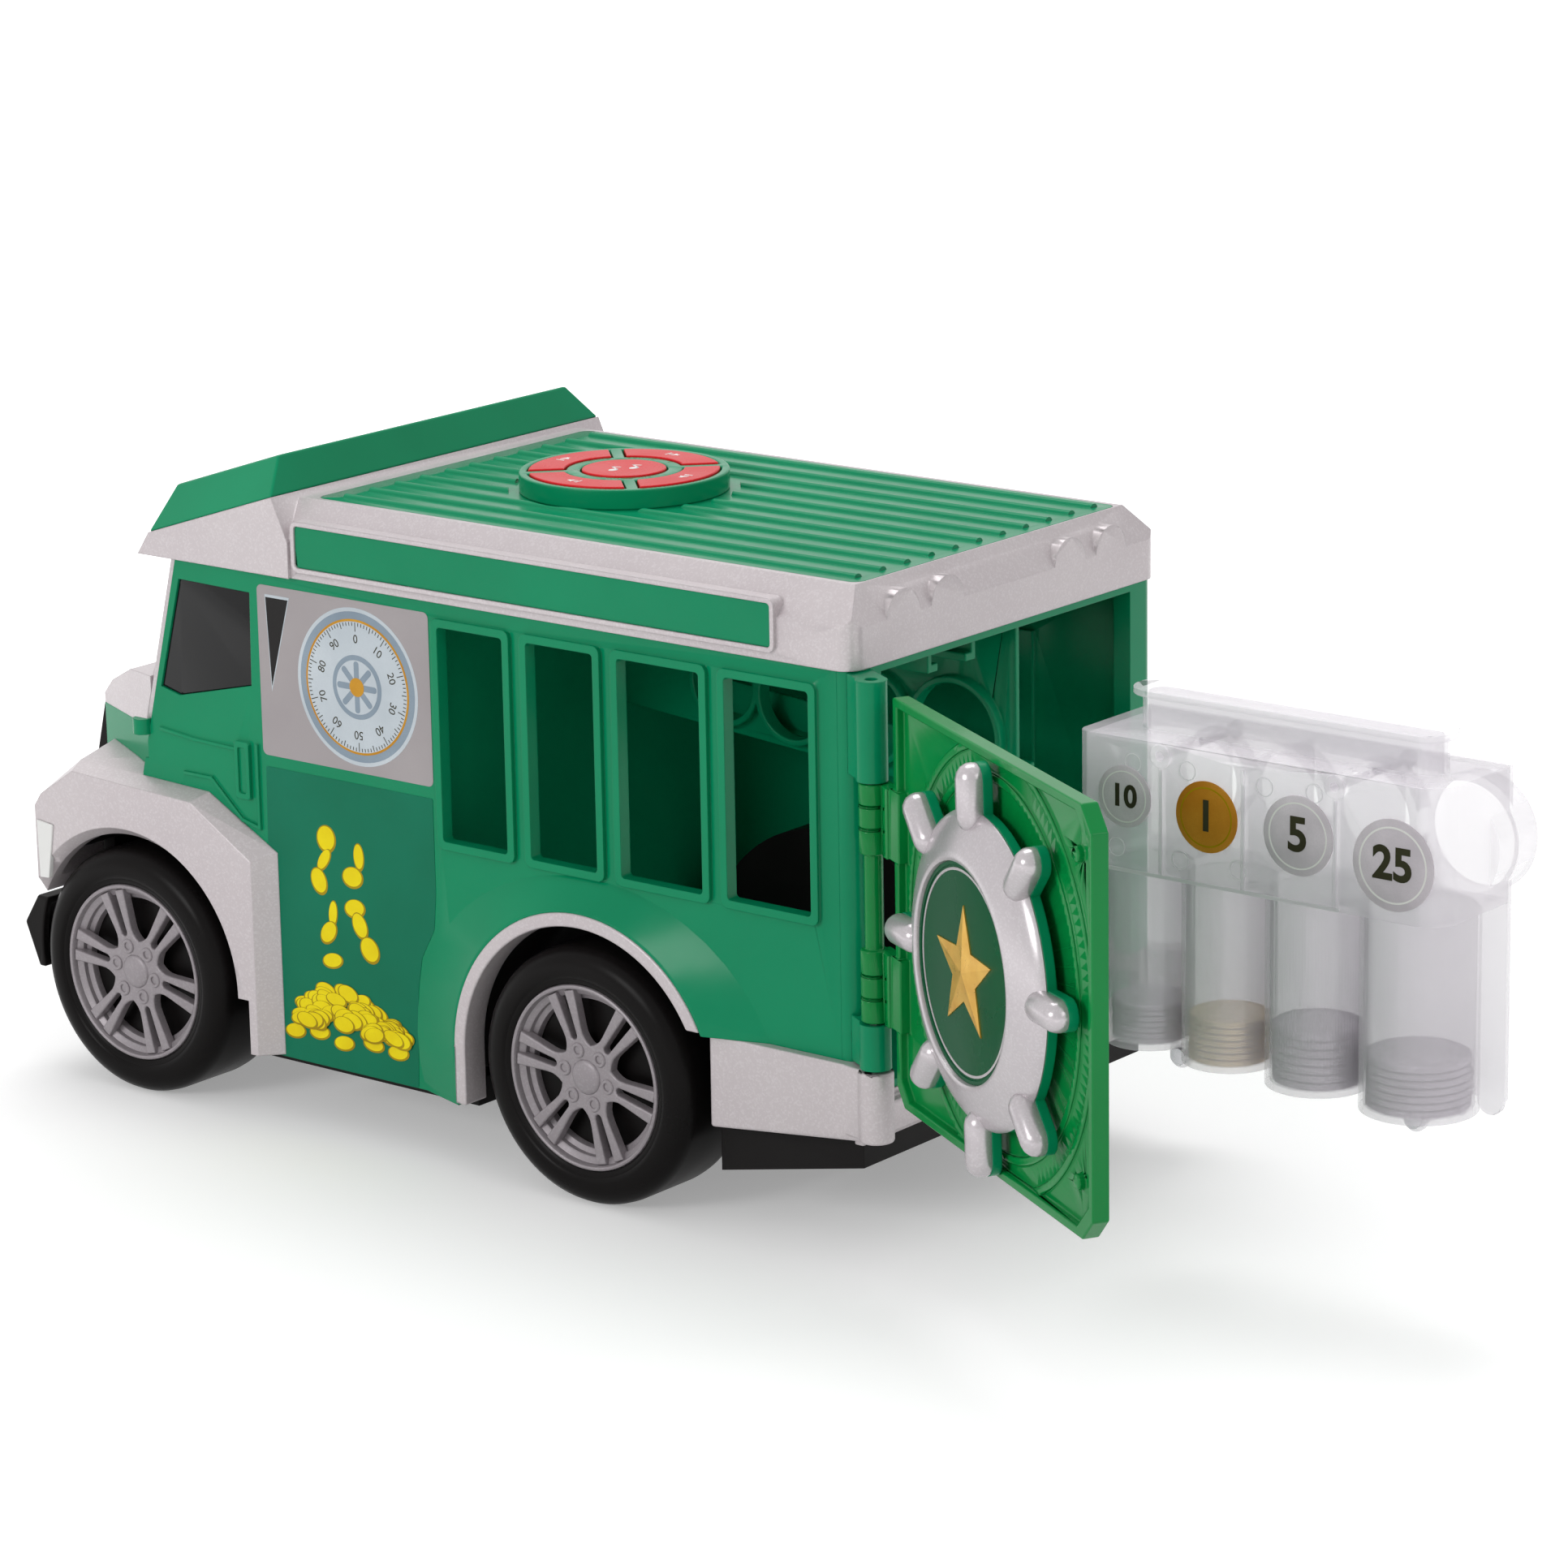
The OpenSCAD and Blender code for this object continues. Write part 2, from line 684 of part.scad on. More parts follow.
module spoiler_solid(inset) {
    a = [cab_x - 34 + inset, trim_y + 1 - 1.2 * inset, eaves_z + 6 - inset];
    b = [cab_x + 9.5 - inset, trim_y + 1 - 1.2 * inset, roof_z + 1.3 - inset];
    c = [cab_x - 31 + inset, trim_y - 7 - inset, roof_z - 1.4 - inset];
    rise = (b[2] - a[2]) / (b[0] - a[0]);
    d = [cab_x + 5.2 - inset, c[1], c[2] + (cab_x + 5.2 - inset - c[0]) * rise];
    polyhedron(
        points = [
            [a[0], -a[1], a[2]], a, b, [b[0], -b[1], b[2]],
            [c[0], -c[1], c[2]], c, d, [d[0], -d[1], d[2]]
        ],
        faces = [[3, 2, 1, 0], [4, 5, 6, 7], [1, 5, 4, 0], [2, 6, 5, 1], [3, 7, 6, 2], [0, 4, 7, 3]]
    );
}

module spoiler() {
    color(green) difference() {
        spoiler_solid(0);
        spoiler_solid(wall);
    }
}

module sign_left() {
    color(green) mirror([0, 1, 0]) sign_plate();
}

module sign_right() {
    color(green) sign_plate();
}

// Buttons: one round button in the middle and four curved ones round it

pod_rim = 2;
ring_in = 11;
ring_out = 14.6;
bar = 3;

module quadrant(angle, low, high, room) {
    intersection() {
        difference() {
            circle(high);
            circle(low);
        }
        rotate(angle) translate([(bar / 2 + room) * sqrt(2), 0]) rotate(-45) square(60);
    }
}

module button_housing() {
    color(green) translate([pod_x, 0, 0]) difference() {
        union() {
            prism_z(roof_z, pod_z) circle(pod_d / 2);
            prism_z(roof_z - 8, roof_z + 1) circle(4.8);
        }
        for (angle = [0 : 90 : 270])
            prism_z(roof_z + 1.4, pod_z + 1) quadrant(angle, ring_out, pod_d / 2 - pod_rim, 0);
        prism_z(roof_z + 1.4, pod_z + 1) circle(ring_in);
        prism_z(roof_z - 9, roof_z + 3) circle(2);
    }
}

module button_round() {
    color([0.8, 0.12, 0.12]) translate([pod_x, 0, 0]) {
        prism_z(roof_z + 1.4 + press_travel, pod_z + 0.3) circle(ring_in - slide_fit);
        prism_z(roof_z - 2, roof_z + 1.4 + press_travel) circle(1.5);
    }
}

module button_arc(angle) {
    color([0.8, 0.12, 0.12]) translate([pod_x, 0, 0])
        prism_z(roof_z + 1.4 + press_travel, pod_z + 0.3)
            quadrant(angle, ring_out + slide_fit, pod_d / 2 - pod_rim - slide_fit, slide_fit);
}

module button_front() { button_arc(180); }
module button_rear() { button_arc(0); }
module button_left() { button_arc(270); }
module button_right() { button_arc(90); }
module button_centre() { button_round(); }

// Front: hood, grille, windshield, headlights, bumper and fenders

module windshield_block(shift) {
    hull() {
        prism_z(hood_z, hood_z + 0.2) polygon([
            [pillar_x(hood_z) + shift, wall_y + 1.2], [nose_x + 32 + shift, nose_y],
            [nose_x + 32 + shift, -nose_y], [pillar_x(hood_z) + shift, -wall_y - 1.2],
            [cab_x, -wall_y - 1.2], [cab_x, wall_y + 1.2]
        ]);
        prism_z(eaves_z - 0.2, eaves_z) polygon([
            [pillar_x(eaves_z) + shift, wall_y + 1.2], [cab_x - 35.4 + shift, nose_y + 2],
            [cab_x - 35.4 + shift, -nose_y - 2], [pillar_x(eaves_z) + shift, -wall_y - 1.2],
            [cab_x, -wall_y - 1.2], [cab_x, wall_y + 1.2]
        ]);
    }
}

module windshield_pane() {
    prism_x(nose_x, cab_x)
        polygon([
            [nose_y - 4, hood_z + 13], [nose_y - 1, eaves_z - 5],
            [1 - nose_y, eaves_z - 5], [4 - nose_y, hood_z + 13]
        ]);
}

module windshield_frame() {
    color(silver) difference() {
        windshield_block(0);
        windshield_block(wall);
        windshield_pane();
    }
}

module windshield() {
    color(black) difference() {
        intersection() {
            windshield_block(0.6);
            windshield_pane();
        }
        windshield_block(wall);
    }
}

module hood() {
    color(silver) difference() {
        intersection() {
            prism_z(hood_z, hood_z + 20) polygon(nose_plan);
            prism_y(-60, 60) polygon([
                [nose_x + 15.8, hood_z], [nose_x + 15.8, hood_z + 2.6], [nose_x + 21.5, hood_z + 7.3],
                [nose_x + 34, hood_z + 13], [cab_x - 30, hood_z + 15], [cab_x - 30, hood_z]
            ]);
        }
        intersection() {
            prism_z(hood_z - 1, hood_z + 20) polygon(nose_inner);
            prism_y(-60, 60) polygon([
                [nose_x + 17, hood_z - 1], [nose_x + 22.5, hood_z + 4.9],
                [nose_x + 34, hood_z + 10.4], [cab_x - 30, hood_z + 12.4], [cab_x - 30, hood_z - 1]
            ]);
        }
        windshield_block(0);
    }
}

module grille() {
    color(black) difference() {
        prism_y(1 - nose_y, nose_y - 1) polygon([
            [nose_x + 15.7, hood_z + 2.4], [nose_x + 14.6, hood_z], [nose_x + 8.6, 73],
            [nose_x + 8.6, belt_z - 3], [nose_x + 15.7, belt_z - 3]
        ]);
        for (i = [0 : 4])
            box([nose_x, 6 - nose_y, 58 + 7 * i], [nose_x + 12 + 1.2 * i, nose_y - 6, 61.5 + 7 * i]);
        both_sides()
            prism_y(wheel_y - tyre_w - 0.8, nose_y) disc(-axle_x, axle_z, tyre_d / 2 + 0.9);
    }
}

module headlights() {
    color([0.95, 0.95, 0.95]) both_sides()
        prism_y(wheel_y - 1, wheel_y + 0.5) head_shape(0);
}

module head_shape(room) {
    polygon([
        [-axle_x - 31.9 - room, 69.2 + room], [-axle_x - 26 + room, 68.5 + room],
        [-axle_x - 28.3 + room, 53.8 - room], [-axle_x - 31.6 - room, 53.6 - room]
    ]);
}

module front_bumper() {
    color(black) difference() {
        prism_y(-trim_y, trim_y) polygon([
            [nose_x + 5.2, 46.6], [nose_x, 38.6], [nose_x + 4.7, 27.1], [nose_x + 11.4, 27.1],
            [nose_x + 11.4, 46.6]
        ]);
        prism_y(2.4 - trim_y, trim_y - 2.4) polygon([
            [nose_x + 6.4, 44.2], [nose_x + 2.7, 38.6], [nose_x + 6.3, 29.5], [nose_x + 12, 29.5],
            [nose_x + 12, 44.2]
        ]);
        both_sides()
            prism_y(tub_y + 1, 70) disc(-axle_x, axle_z, lip_in);
    }
}

module fender_outer(inset) {
    hull() {
        prism_y(wheel_y - inset - 0.2, wheel_y - inset) polygon([
            [-axle_x - 32.7 + inset, 18.4], [-axle_x - 32.7 + inset, 72.9 - inset],
            [-axle_x - 30.3 + inset, 76.3 - inset], [-axle_x - 18.3, 84.2 - inset],
            [cab_x - 20.8 - inset, 82.3 - inset], [cab_x - inset, 69.7 - inset], [cab_x - inset, 18.4]
        ]);
        prism_y(side_y, side_y + 0.2) polygon([
            [-axle_x - 32.7 + inset, 18.4], [-axle_x - 32.7 + inset, 75.5 - inset],
            [-axle_x - 20, 86 - inset], [cab_x - 18.8 - inset, 84.3 - inset],
            [cab_x + 4.6 - inset, 71.8 - inset], [cab_x + 4.6 - inset, 18.4]
        ]);
        prism_y(nose_y - 1, nose_y - 0.8) polygon([
            [-axle_x - 32.7 + inset, 18.4], [-axle_x - 32.7 + inset, 77 - inset],
            [-axle_x - 22, 88.9 - inset], [cab_x - 30, 88.9 - inset], [cab_x - 30, 18.4]
        ]);
    }
}

module fender() {
    difference() {
        fender_outer(0);
        difference() {
            fender_outer(2.4);
            prism_y(wheel_y - 6, wheel_y) disc(-axle_x, axle_z, lip_out + 1);
        }
        translate([-axle_x, wheel_y + 0.01, axle_z]) rotate([90, 0, 0])
            cylinder(h = 3, r1 = lip_out, r2 = lip_in);
        prism_y(40, wheel_y) disc(-axle_x, axle_z, lip_in);
        box([-axle_x - 30.3, 40, 0], [cab_x - 2.6, wheel_y + 1, axle_z]);
        box([pillar_x(86) + 2.3, 30, 0], [cab_x + 10, side_y, 120]);
        box([-axle_x - 40, 30, 0], [-axle_x, wheel_y + 1, belt_z - 2.4]);
        prism_z(0, 120) polygon(nose_plan);
        prism_z(0, 120) translate([-axle_x - 40, 0]) square([22, nose_y + join_fit]);
        prism_y(wheel_y - 1, wheel_y + 1) head_shape(0.05);
    }
}

module fender_left() {
    color(silver) mirror([0, 1, 0]) fender();
}

module fender_right() {
    color(silver) fender();
}

module arch_trim() {
    difference() {
        union() {
            prism_y(wall_y, wheel_y) disc(axle_x, axle_z, trim_out);
            prism_y(wall_y, wheel_y)
                translate([axle_x - trim_out, sill_z + 0.8]) square([3.5, axle_z - sill_z]);
        }
        prism_y(wall_y - 1, wheel_y + 1) disc(axle_x, axle_z, trim_in);
        box([axle_x - trim_in, 0, -20], [axle_x + 60, 80, axle_z]);
        box([axle_x, 0, -20], [axle_x + 60, 80, belt_z + 0.7]);
        box([axle_x - 60, 0, -20], [axle_x - trim_out, 80, 90]);
        box([axle_x - 60, 0, -20], [axle_x - trim_in, 80, sill_z + 0.8]);
    }
}

module arch_trim_left() {
    color(silver) mirror([0, 1, 0]) arch_trim();
}

module arch_trim_right() {
    color(silver) arch_trim();
}

module rear_bumper() {
    color(silver) {
        both_sides() difference() {
            union() {
                prism_y(wall_y - 1.5, side_y + 2.5) polygon([
                    [axle_x + 38.3, 27.1], [rear_x + 1, 32], [rear_x + 1, belt_z], [axle_x + 38.3, belt_z]
                ]);
                box([rear_x + 0.2, 0, 32], [rear_x + 3.5, side_y + 2.5, 39.5]);
                box([rear_x - 1.8, 0, 30], [rear_x + 1, side_y, floor_z]);
                translate([pin_x, -pin_y, 33]) cylinder(h = belt_z - 33, r = boss_r + 0.4);
                prism_z(33, belt_z) link([pin_x - 1, -pin_y - 1], [rear_x - 3, side_y - 1], 7);
            }
            prism_y(wall_y - 3, side_y + 0.1) polygon([
                [axle_x + 36, 20], [rear_x - 1.9, 25],
                [rear_x - 1.9, belt_z - 2.4], [axle_x + 36, belt_z - 2.4]
            ]);
            prism_y(wall_y - 3, 80) disc(axle_x, axle_z, trim_in);
            box([rear_x + 0.3, -1, floor_z - 1.4], [rear_x + 12, wall_y - 2.4, 60]);
            box([post_x - 50, 40, belt_z], [rear_x + 20, 90, belt_z + 5]);
        }
    }
}

// Wheels and axles

module axle(x) {
    color([0.7, 0.7, 0.72]) translate([x, 0, axle_z]) rotate([90, 0, 0]) {
        cylinder(h = track_w - 16, d = axle_d, center = true);
        both_ends() translate([0, 0, well_y + 2.2]) difference() {
            cylinder(h = 1.4, r = 4.6);
            translate([0, 0, -1]) cylinder(h = 4, d = axle_d);
        }
    }
}

module both_ends() {
    children();
    mirror([0, 0, 1]) children();
}

module front_axle() { axle(-axle_x); }
module rear_axle() { axle(axle_x); }

module tyre(x) {
    color(black) translate([x, wheel_y, axle_z]) rotate([90, 0, 0]) {
        rotate_extrude() difference() {
            union() {
                translate([rim_d / 2, 0]) square([tyre_d / 2 - rim_d / 2 - 3, tyre_w]);
                translate([rim_d / 2, 3]) square([tyre_d / 2 - rim_d / 2, tyre_w - 6]);
                for (z = [3, tyre_w - 3])
                    disc(tyre_d / 2 - 3, z, 3);
            }
            translate([rim_d / 2 - 1, 5]) square([3, tyre_w - 9]);
        }
        translate([0, 0, 6.5]) difference() {
            cylinder(h = 2.4, r = rim_d / 2 + 2.4);
            translate([0, 0, -1]) cylinder(h = 4, d = axle_d);
        }
        translate([0, 0, 4.5]) difference() {
            cylinder(h = tyre_w - 6.5, r = 5);
            translate([0, 0, -1]) cylinder(h = tyre_w, d = axle_d);
        }
    }
}

module cap_spokes() {
    for (i = [0 : spoke_pairs - 1])
        rotate((i + 0.83) * 360 / spoke_pairs)
            for (side = [-1, 1])
                link([7, side * 1.5], [rim_d / 2 - 1.7, side * 3.05], 2.4);
}

module cap_ring(low, high, r) {
    translate([0, 0, low]) linear_extrude(high - low) difference() {
        circle(rim_d / 2);
        circle(r);
    }
}

module cap(x) {
    color(silver) translate([x, wheel_y, axle_z]) rotate([90, 0, 0]) {
        difference() {
            union() {
                cap_ring(0.6, 6.5, rim_d / 2 - 1.2);
                cap_ring(3, 6.5, rim_d / 2 - 2.9);
                cap_ring(4.8, 6.5, rim_d / 2 - 4.5);
                translate([0, 0, 1.9]) linear_extrude(2.6) intersection() {
                    cap_spokes();
                    circle(rim_d / 2 - 1);
                }
                translate([0, 0, 2.3]) cylinder(h = 4.2, r = 8.3);
                translate([0, 0, 1]) cylinder(h = 2, r = 4.6);
                for (i = [0 : spoke_pairs - 1])
                    rotate((i + 0.83) * 360 / spoke_pairs) translate([6.9, 0, 1.7]) difference() {
                        cylinder(h = 1, r = 1.95);
                        translate([0, 0, -1]) cylinder(h = 1.6, r = 1);
                    }
            }
            translate([0, 0, 4.5]) cylinder(h = 3, r = 5.02);
        }
    }
}

module tyre_front_left() { mirror([0, 1, 0]) tyre(-axle_x); }
module tyre_front_right() { tyre(-axle_x); }
module tyre_rear_left() { mirror([0, 1, 0]) tyre(axle_x); }
module tyre_rear_right() { tyre(axle_x); }
module cap_front_left() { mirror([0, 1, 0]) cap(-axle_x); }
module cap_front_right() { cap(-axle_x); }
module cap_rear_left() { mirror([0, 1, 0]) cap(axle_x); }
module cap_rear_right() { cap(axle_x); }

// Rear door: every part is drawn closed and then turned open about the hinge pin

module opened() {
    translate([pin_x, pin_y, 0]) rotate(-door_open) translate([-pin_x, -pin_y, 0]) children();
}

door_low = door_y - door_w / 2;
door_high = door_y + door_w / 2;
door_base = door_z - door_h / 2;
door_top = door_z + door_h / 2;
barrel_low = boss_low + slide_fit;
barrel_high = boss_high - slide_fit;
barrel_neck = [80, 103];

module door_outline(inset) {
    cut = 5.4 + inset * 0.4;
    polygon([
        [door_low + inset, door_base + inset + 4.2], [door_low + inset + 4.2, door_base + inset],
        [door_high - inset - cut, door_base + inset], [door_high - inset, door_base + inset + cut],
        [door_high - inset, door_top - inset - cut], [door_high - inset - cut, door_top - inset],
        [door_low + inset, door_top - inset]
    ]);
}

module ring_arc(low, high) {
    intersection() {
        difference() {
            disc(wheel_turn_y, wheel_turn_z, high);
            disc(wheel_turn_y, wheel_turn_z, low);
        }
        door_outline(2);
    }
}

module rear_door() {
    color([0.1, 0.55, 0.25, 0.9]) opened() difference() {
        union() {
            prism_x(door_in, door_in + 2.2) door_outline(0);
            prism_x(door_in, door_out) difference() {
                door_outline(0);
                door_outline(2.2);
            }
            prism_x(door_in + 2, door_in + 3) {
                ring_arc(42, 44);
                ring_arc(49, 51);
            }
            prism_x(door_in, door_out) disc(wheel_turn_y, wheel_turn_z, 9);
            for (z = [door_top - 12, door_base + 12])
                translate([door_in + 2, door_high - 9, z]) rotate([0, 90, 0]) cylinder(h = 2, r = 1.8);
            box([door_in - 1.8, door_high - 8.4, door_z - 8], [door_in + 1, door_high - 6.8, door_z + 8]);
            for (span = [[barrel_low, barrel_neck[0]], [barrel_neck[1], barrel_high]]) {
                box([door_in + 1.6, pin_y, span[0]], [door_out + 0.6, door_low + 4, span[1]]);
                box([door_in + 0.8, door_low - 4.4, span[0]], [door_out + 1.2, door_low - 1.2, span[1]]);
                translate([pin_x, pin_y, span[0]]) cylinder(h = span[1] - span[0], d = barrel_d);
            }
            translate([pin_x, pin_y, barrel_neck[0] - 1])
                cylinder(h = barrel_neck[1] - barrel_neck[0] + 2, d = barrel_d - 2.2);
        }
        prism_x(door_in - 1, door_out + 1) disc(wheel_turn_y, wheel_turn_z, hub_r + turn_fit);
        translate([pin_x, pin_y, 0]) cylinder(h = 200, r = pin_d / 2 + turn_fit);
        for (z = [114.5, 109.1, 73.8, 68.3])
            translate([pin_x, pin_y, z - 0.25]) difference() {
                cylinder(h = 0.5, d = barrel_d + 4);
                translate([0, 0, -1]) cylinder(h = 3, d = barrel_d - 0.8);
                translate([-8, 0, -1]) cube([8 - barrel_d / 2 + 2.4, 8, 4]);
            }
    }
}

module hinge_pin() {
    color([0.7, 0.7, 0.72]) translate([pin_x, pin_y, belt_z + 2.6])
        cylinder(h = eaves_z - belt_z - 5, d = pin_d);
}

ring_r = handwheel_d / 2;
disc_r = disc_d / 2;
disc_seat = 5.6;
washer_t = 1.2;

module on_door() {
    opened() translate([door_out, wheel_turn_y, wheel_turn_z]) rotate([0, 90, 0]) children();
}

module handwheel() {
    color(silver) on_door() difference() {
        union() {
            rotate_extrude() polygon([
                [0, disc_seat - 1.6], [disc_r - 0.4, disc_seat - 1.6], [ring_r - 2.4, 0.6], [ring_r, 0.6],
                [ring_r, 2.8], [ring_r - 0.8, 3.6], [ring_r - 3, 5.2], [ring_r - 6, 6.7],
                [disc_r + 2.2, 7.8], [disc_r + 0.8, 8], [disc_r, 7.6], [disc_r, disc_seat], [0, disc_seat]
            ]);
            translate([0, 0, -door_t - slide_fit])
                cylinder(h = door_t + slide_fit + disc_seat - 1, r = hub_r);
            for (i = [0 : knob_count - 1])
                rotate(92.5 + i * 360 / knob_count) translate([0, 0, knob_d / 2 + slide_fit])
                    rotate([0, 90, 0]) {
                        translate([0, 0, ring_r - 3])
                            cylinder(h = knob_out + 3 - knob_d / 2, d = knob_d);
                        translate([0, 0, ring_r + knob_out - knob_d / 2]) sphere(d = knob_d);
                    }
        }
        translate([0, 0, -door_t - 1]) cylinder(h = door_t + 2, r = 1.3);
    }
}

module handwheel_disc() {
    color([0.04, 0.3, 0.18]) on_door()
        translate([0, 0, disc_seat]) difference() {
            cylinder(h = 1.4, r = disc_r - join_fit);
            translate([0, 0, 1]) cylinder(h = 1, r = disc_r - 1.1);
        }
}

module handwheel_screw() {
    color([0.7, 0.7, 0.72]) on_door()
        translate([0, 0, -door_t - slide_fit]) {
            translate([0, 0, -washer_t]) cylinder(h = washer_t, r = hub_r + 2);
            translate([0, 0, -washer_t - 1.6]) cylinder(h = 1.7, r = 2.8);
            cylinder(h = 5, r = 1.3);
        }
}

// Coin ramp, rail and the cartridge, which is drawn pushed in and then pulled out

module pulled() {
    translate([pull_out, 0, 0]) children();
}

module coin_ramp() {
    low_x = bay_x;
    high_x = rear_x - 6;
    low_z = ledge_z(low_x);
    high_z = ledge_z(high_x);
    color(green) difference() {
        union() {
            prism_y(ramp_y, ramp_y + ramp_t) polygon([
                [low_x, low_z - 3], [high_x, high_z - 3], [high_x, roof_in_z - 1.2],
                [high_x - 12, roof_in_z - 1.2], [high_x - 16, 141], [low_x + 20, 141],
                [low_x + 14, roof_in_z - 1.2], [low_x, roof_in_z - 1.2]
            ]);
            prism_y(ramp_y, ramp_y + 6)
                polygon([[low_x, low_z - 3], [high_x, high_z - 3], [high_x, high_z], [low_x, low_z]]);
            prism_y(ramp_y + 6, ramp_y + 7.4)
                polygon([
                    [low_x, low_z - 3], [high_x, high_z - 3], [high_x, high_z + 8], [low_x, low_z + 8]
                ]);
            for (tube = tubes)
                prism_y(ramp_y - ring_l, ramp_y + 0.1) disc(inlet_x(tube), inlet_z(tube), tube[1] + 1.7);
            prism_x(low_x + 2, low_x + 34) polygon([
                [ramp_y + 7.4, low_z + 6.5], [wall_y, 124], [wall_y, 126], [ramp_y + 7.4, low_z + 8]
            ]);
            for (x = [low_x + 1.2, low_x + 33.6])
                prism_x(x, x + 1.2) polygon([
                    [ramp_y + 7.4, low_z + 6.5], [wall_y, 124], [wall_y, 136], [ramp_y + 7.4, 122]
                ]);
        }
        for (tube = tubes)
            prism_y(ramp_y - ring_l - 1, ramp_y + ramp_t + 0.2)
                disc(inlet_x(tube), inlet_z(tube), tube[1] + 0.1);
    }
}

module sorter_rail() {
    color(green) translate([0, flange_y, 0]) both_sides() {
        prism_x(bay_x, post_x - 1) polygon([
            [5.4, flange_z - 2.4], [9.4, flange_z - 2.4], [9.4, roof_in_z - 1.2], [7.8, roof_in_z - 1.2],
            [7.8, flange_z - slide_fit], [5.4, flange_z - slide_fit]
        ]);
        prism_x(bay_x, bay_x + 6) translate([-0.01, roof_in_z - 6]) square([8, 4.8]);
    }
}

flange_x0 = ten_x - 2.9;
flange_x1 = quarter_x + 6.3;
plate_t = 1.5;
bosses = [edge_x(0), edge_x(2)];
boss_z = sorter_z - 3;
ears = [[edge_x(0) - 3.1, tube_z - 3.3], [quarter_x, tubes[3][2] - 2.3]];
ear_tubes = [0, 3];

module tube_core(tube, r, low, high) {
    translate([tube[0], front_y + 0.5 + shell_t + tube[1], low]) cylinder(h = high - low, r = r);
}

module box_plan(inset) {
    x0 = cell_x + inset;
    x1 = end_x - inset;
    y0 = front_y + inset;
    r1 = 3 - inset;
    r2 = 7 - inset;
    translate([x0 + r1, y0]) square([x1 - r2 - x0 - r1, back_y - y0]);
    translate([x0, y0 + r1]) square([r1 + 1, back_y - y0 - r1]);
    translate([x1 - r2 - 1, y0 + r2]) square([r2 + 1, back_y - y0 - r2]);
    disc(x0 + r1, y0 + r1, r1);
    disc(x1 - r2, y0 + r2, r2);
}

module divider(i, front) {
    box([edge_x(i) - 0.6, front, cell_z], [edge_x(i) + 0.6, back_y, sorter_z]);
}

module shell_outer() {
    prism_z(cell_z, sorter_z) box_plan(0);
    intersection() {
        prism_y(back_y - 8, back_y) disc(inlet_x(tubes[3]), inlet_z(tubes[3]), quarter_r + 1.4);
        box([cell_x, front_y, cell_z], [end_x + 9, back_y, sorter_z]);
    }
    prism_z(sorter_z - 0.1, flange_z) rounded([flange_x0, flange_y - 4.8], [flange_x1, flange_y + 4.8], 4.7);
    prism_z(flange_z, flange_z + 1.6)
        rounded([flange_x0 - 2.2, flange_y - 7], [flange_x1 + 2.2, flange_y + 7], 6.9);
    for (i = [0 : 2])
        box([edge_x(i) - 0.5, front_y - 0.3, cell_z + 1], [edge_x(i) + 0.5, front_y + 1, boss_z]);
    for (x = bosses)
        prism_y(front_y - 0.6, back_y) disc(x, boss_z, 2.8);
}

module sorter_shell() {
    color(clear) pulled() difference() {
        shell_outer();
        difference() {
            prism_z(cell_z + shell_t, sorter_z - shell_t) {
                box_plan(shell_t);
                translate([cell_x + shell_t, back_y - 2]) square([end_x - cell_x - 2 * shell_t, 3]);
            }
            for (x = bosses)
                prism_y(front_y, back_y) disc(x, boss_z, 2.8);
            for (i = [0 : 2])
                divider(i, front_y);
        }
        prism_y(back_y - 7, back_y + 1) disc(inlet_x(tubes[3]), inlet_z(tubes[3]), quarter_r + 0.05);
        for (tube = tubes)
            tube_core(tube, tube[1], cell_z - 1, cell_z + shell_t + 0.1);
        for (x = bosses)
            prism_y(front_y - 2, back_y + 1) disc(x, boss_z, 1.1);
        prism_z(sorter_z - shell_t - 1, flange_z + 0.4)
            rounded([flange_x0 + 1.2, flange_y - 3.6], [flange_x1 - 1.2, flange_y + 3.6], 3.5);
    }
}

// Round coin tubes under the box, joined by a thin web along their middles

module coin_tube(i) {
    color(clear) pulled() difference() {
        union() {
            tube_core(tubes[i], tubes[i][1] + shell_t, tubes[i][2], cell_z);
            if (i < 3)
                box([tubes[i][0], web_y, tubes[i][2] + 1], [edge_x(i), web_y + 1.4, cell_z]);
            if (i > 0)
                box([edge_x(i - 1), web_y, tubes[i - 1][2] + 1], [tubes[i][0], web_y + 1.4, cell_z]);
            for (k = [0, 1])
                if (ear_tubes[k] == i)
                    prism_y(web_y, web_y + 1.4) {
                        disc(ears[k][0], ears[k][1], 3);
                        translate([ears[k][0] - 3, ears[k][1]]) square([6, 6]);
                    }
        }
        tube_core(tubes[i], tubes[i][1], tubes[i][2] + shell_t, cell_z + 1);
        for (ear = ears)
            prism_y(web_y - 1, web_y + 2) disc(ear[0], ear[1], 1);
    }
}

module coin_tube_ten() { coin_tube(0); }
module coin_tube_one() { coin_tube(1); }
module coin_tube_five() { coin_tube(2); }
module coin_tube_quarter() { coin_tube(3); }

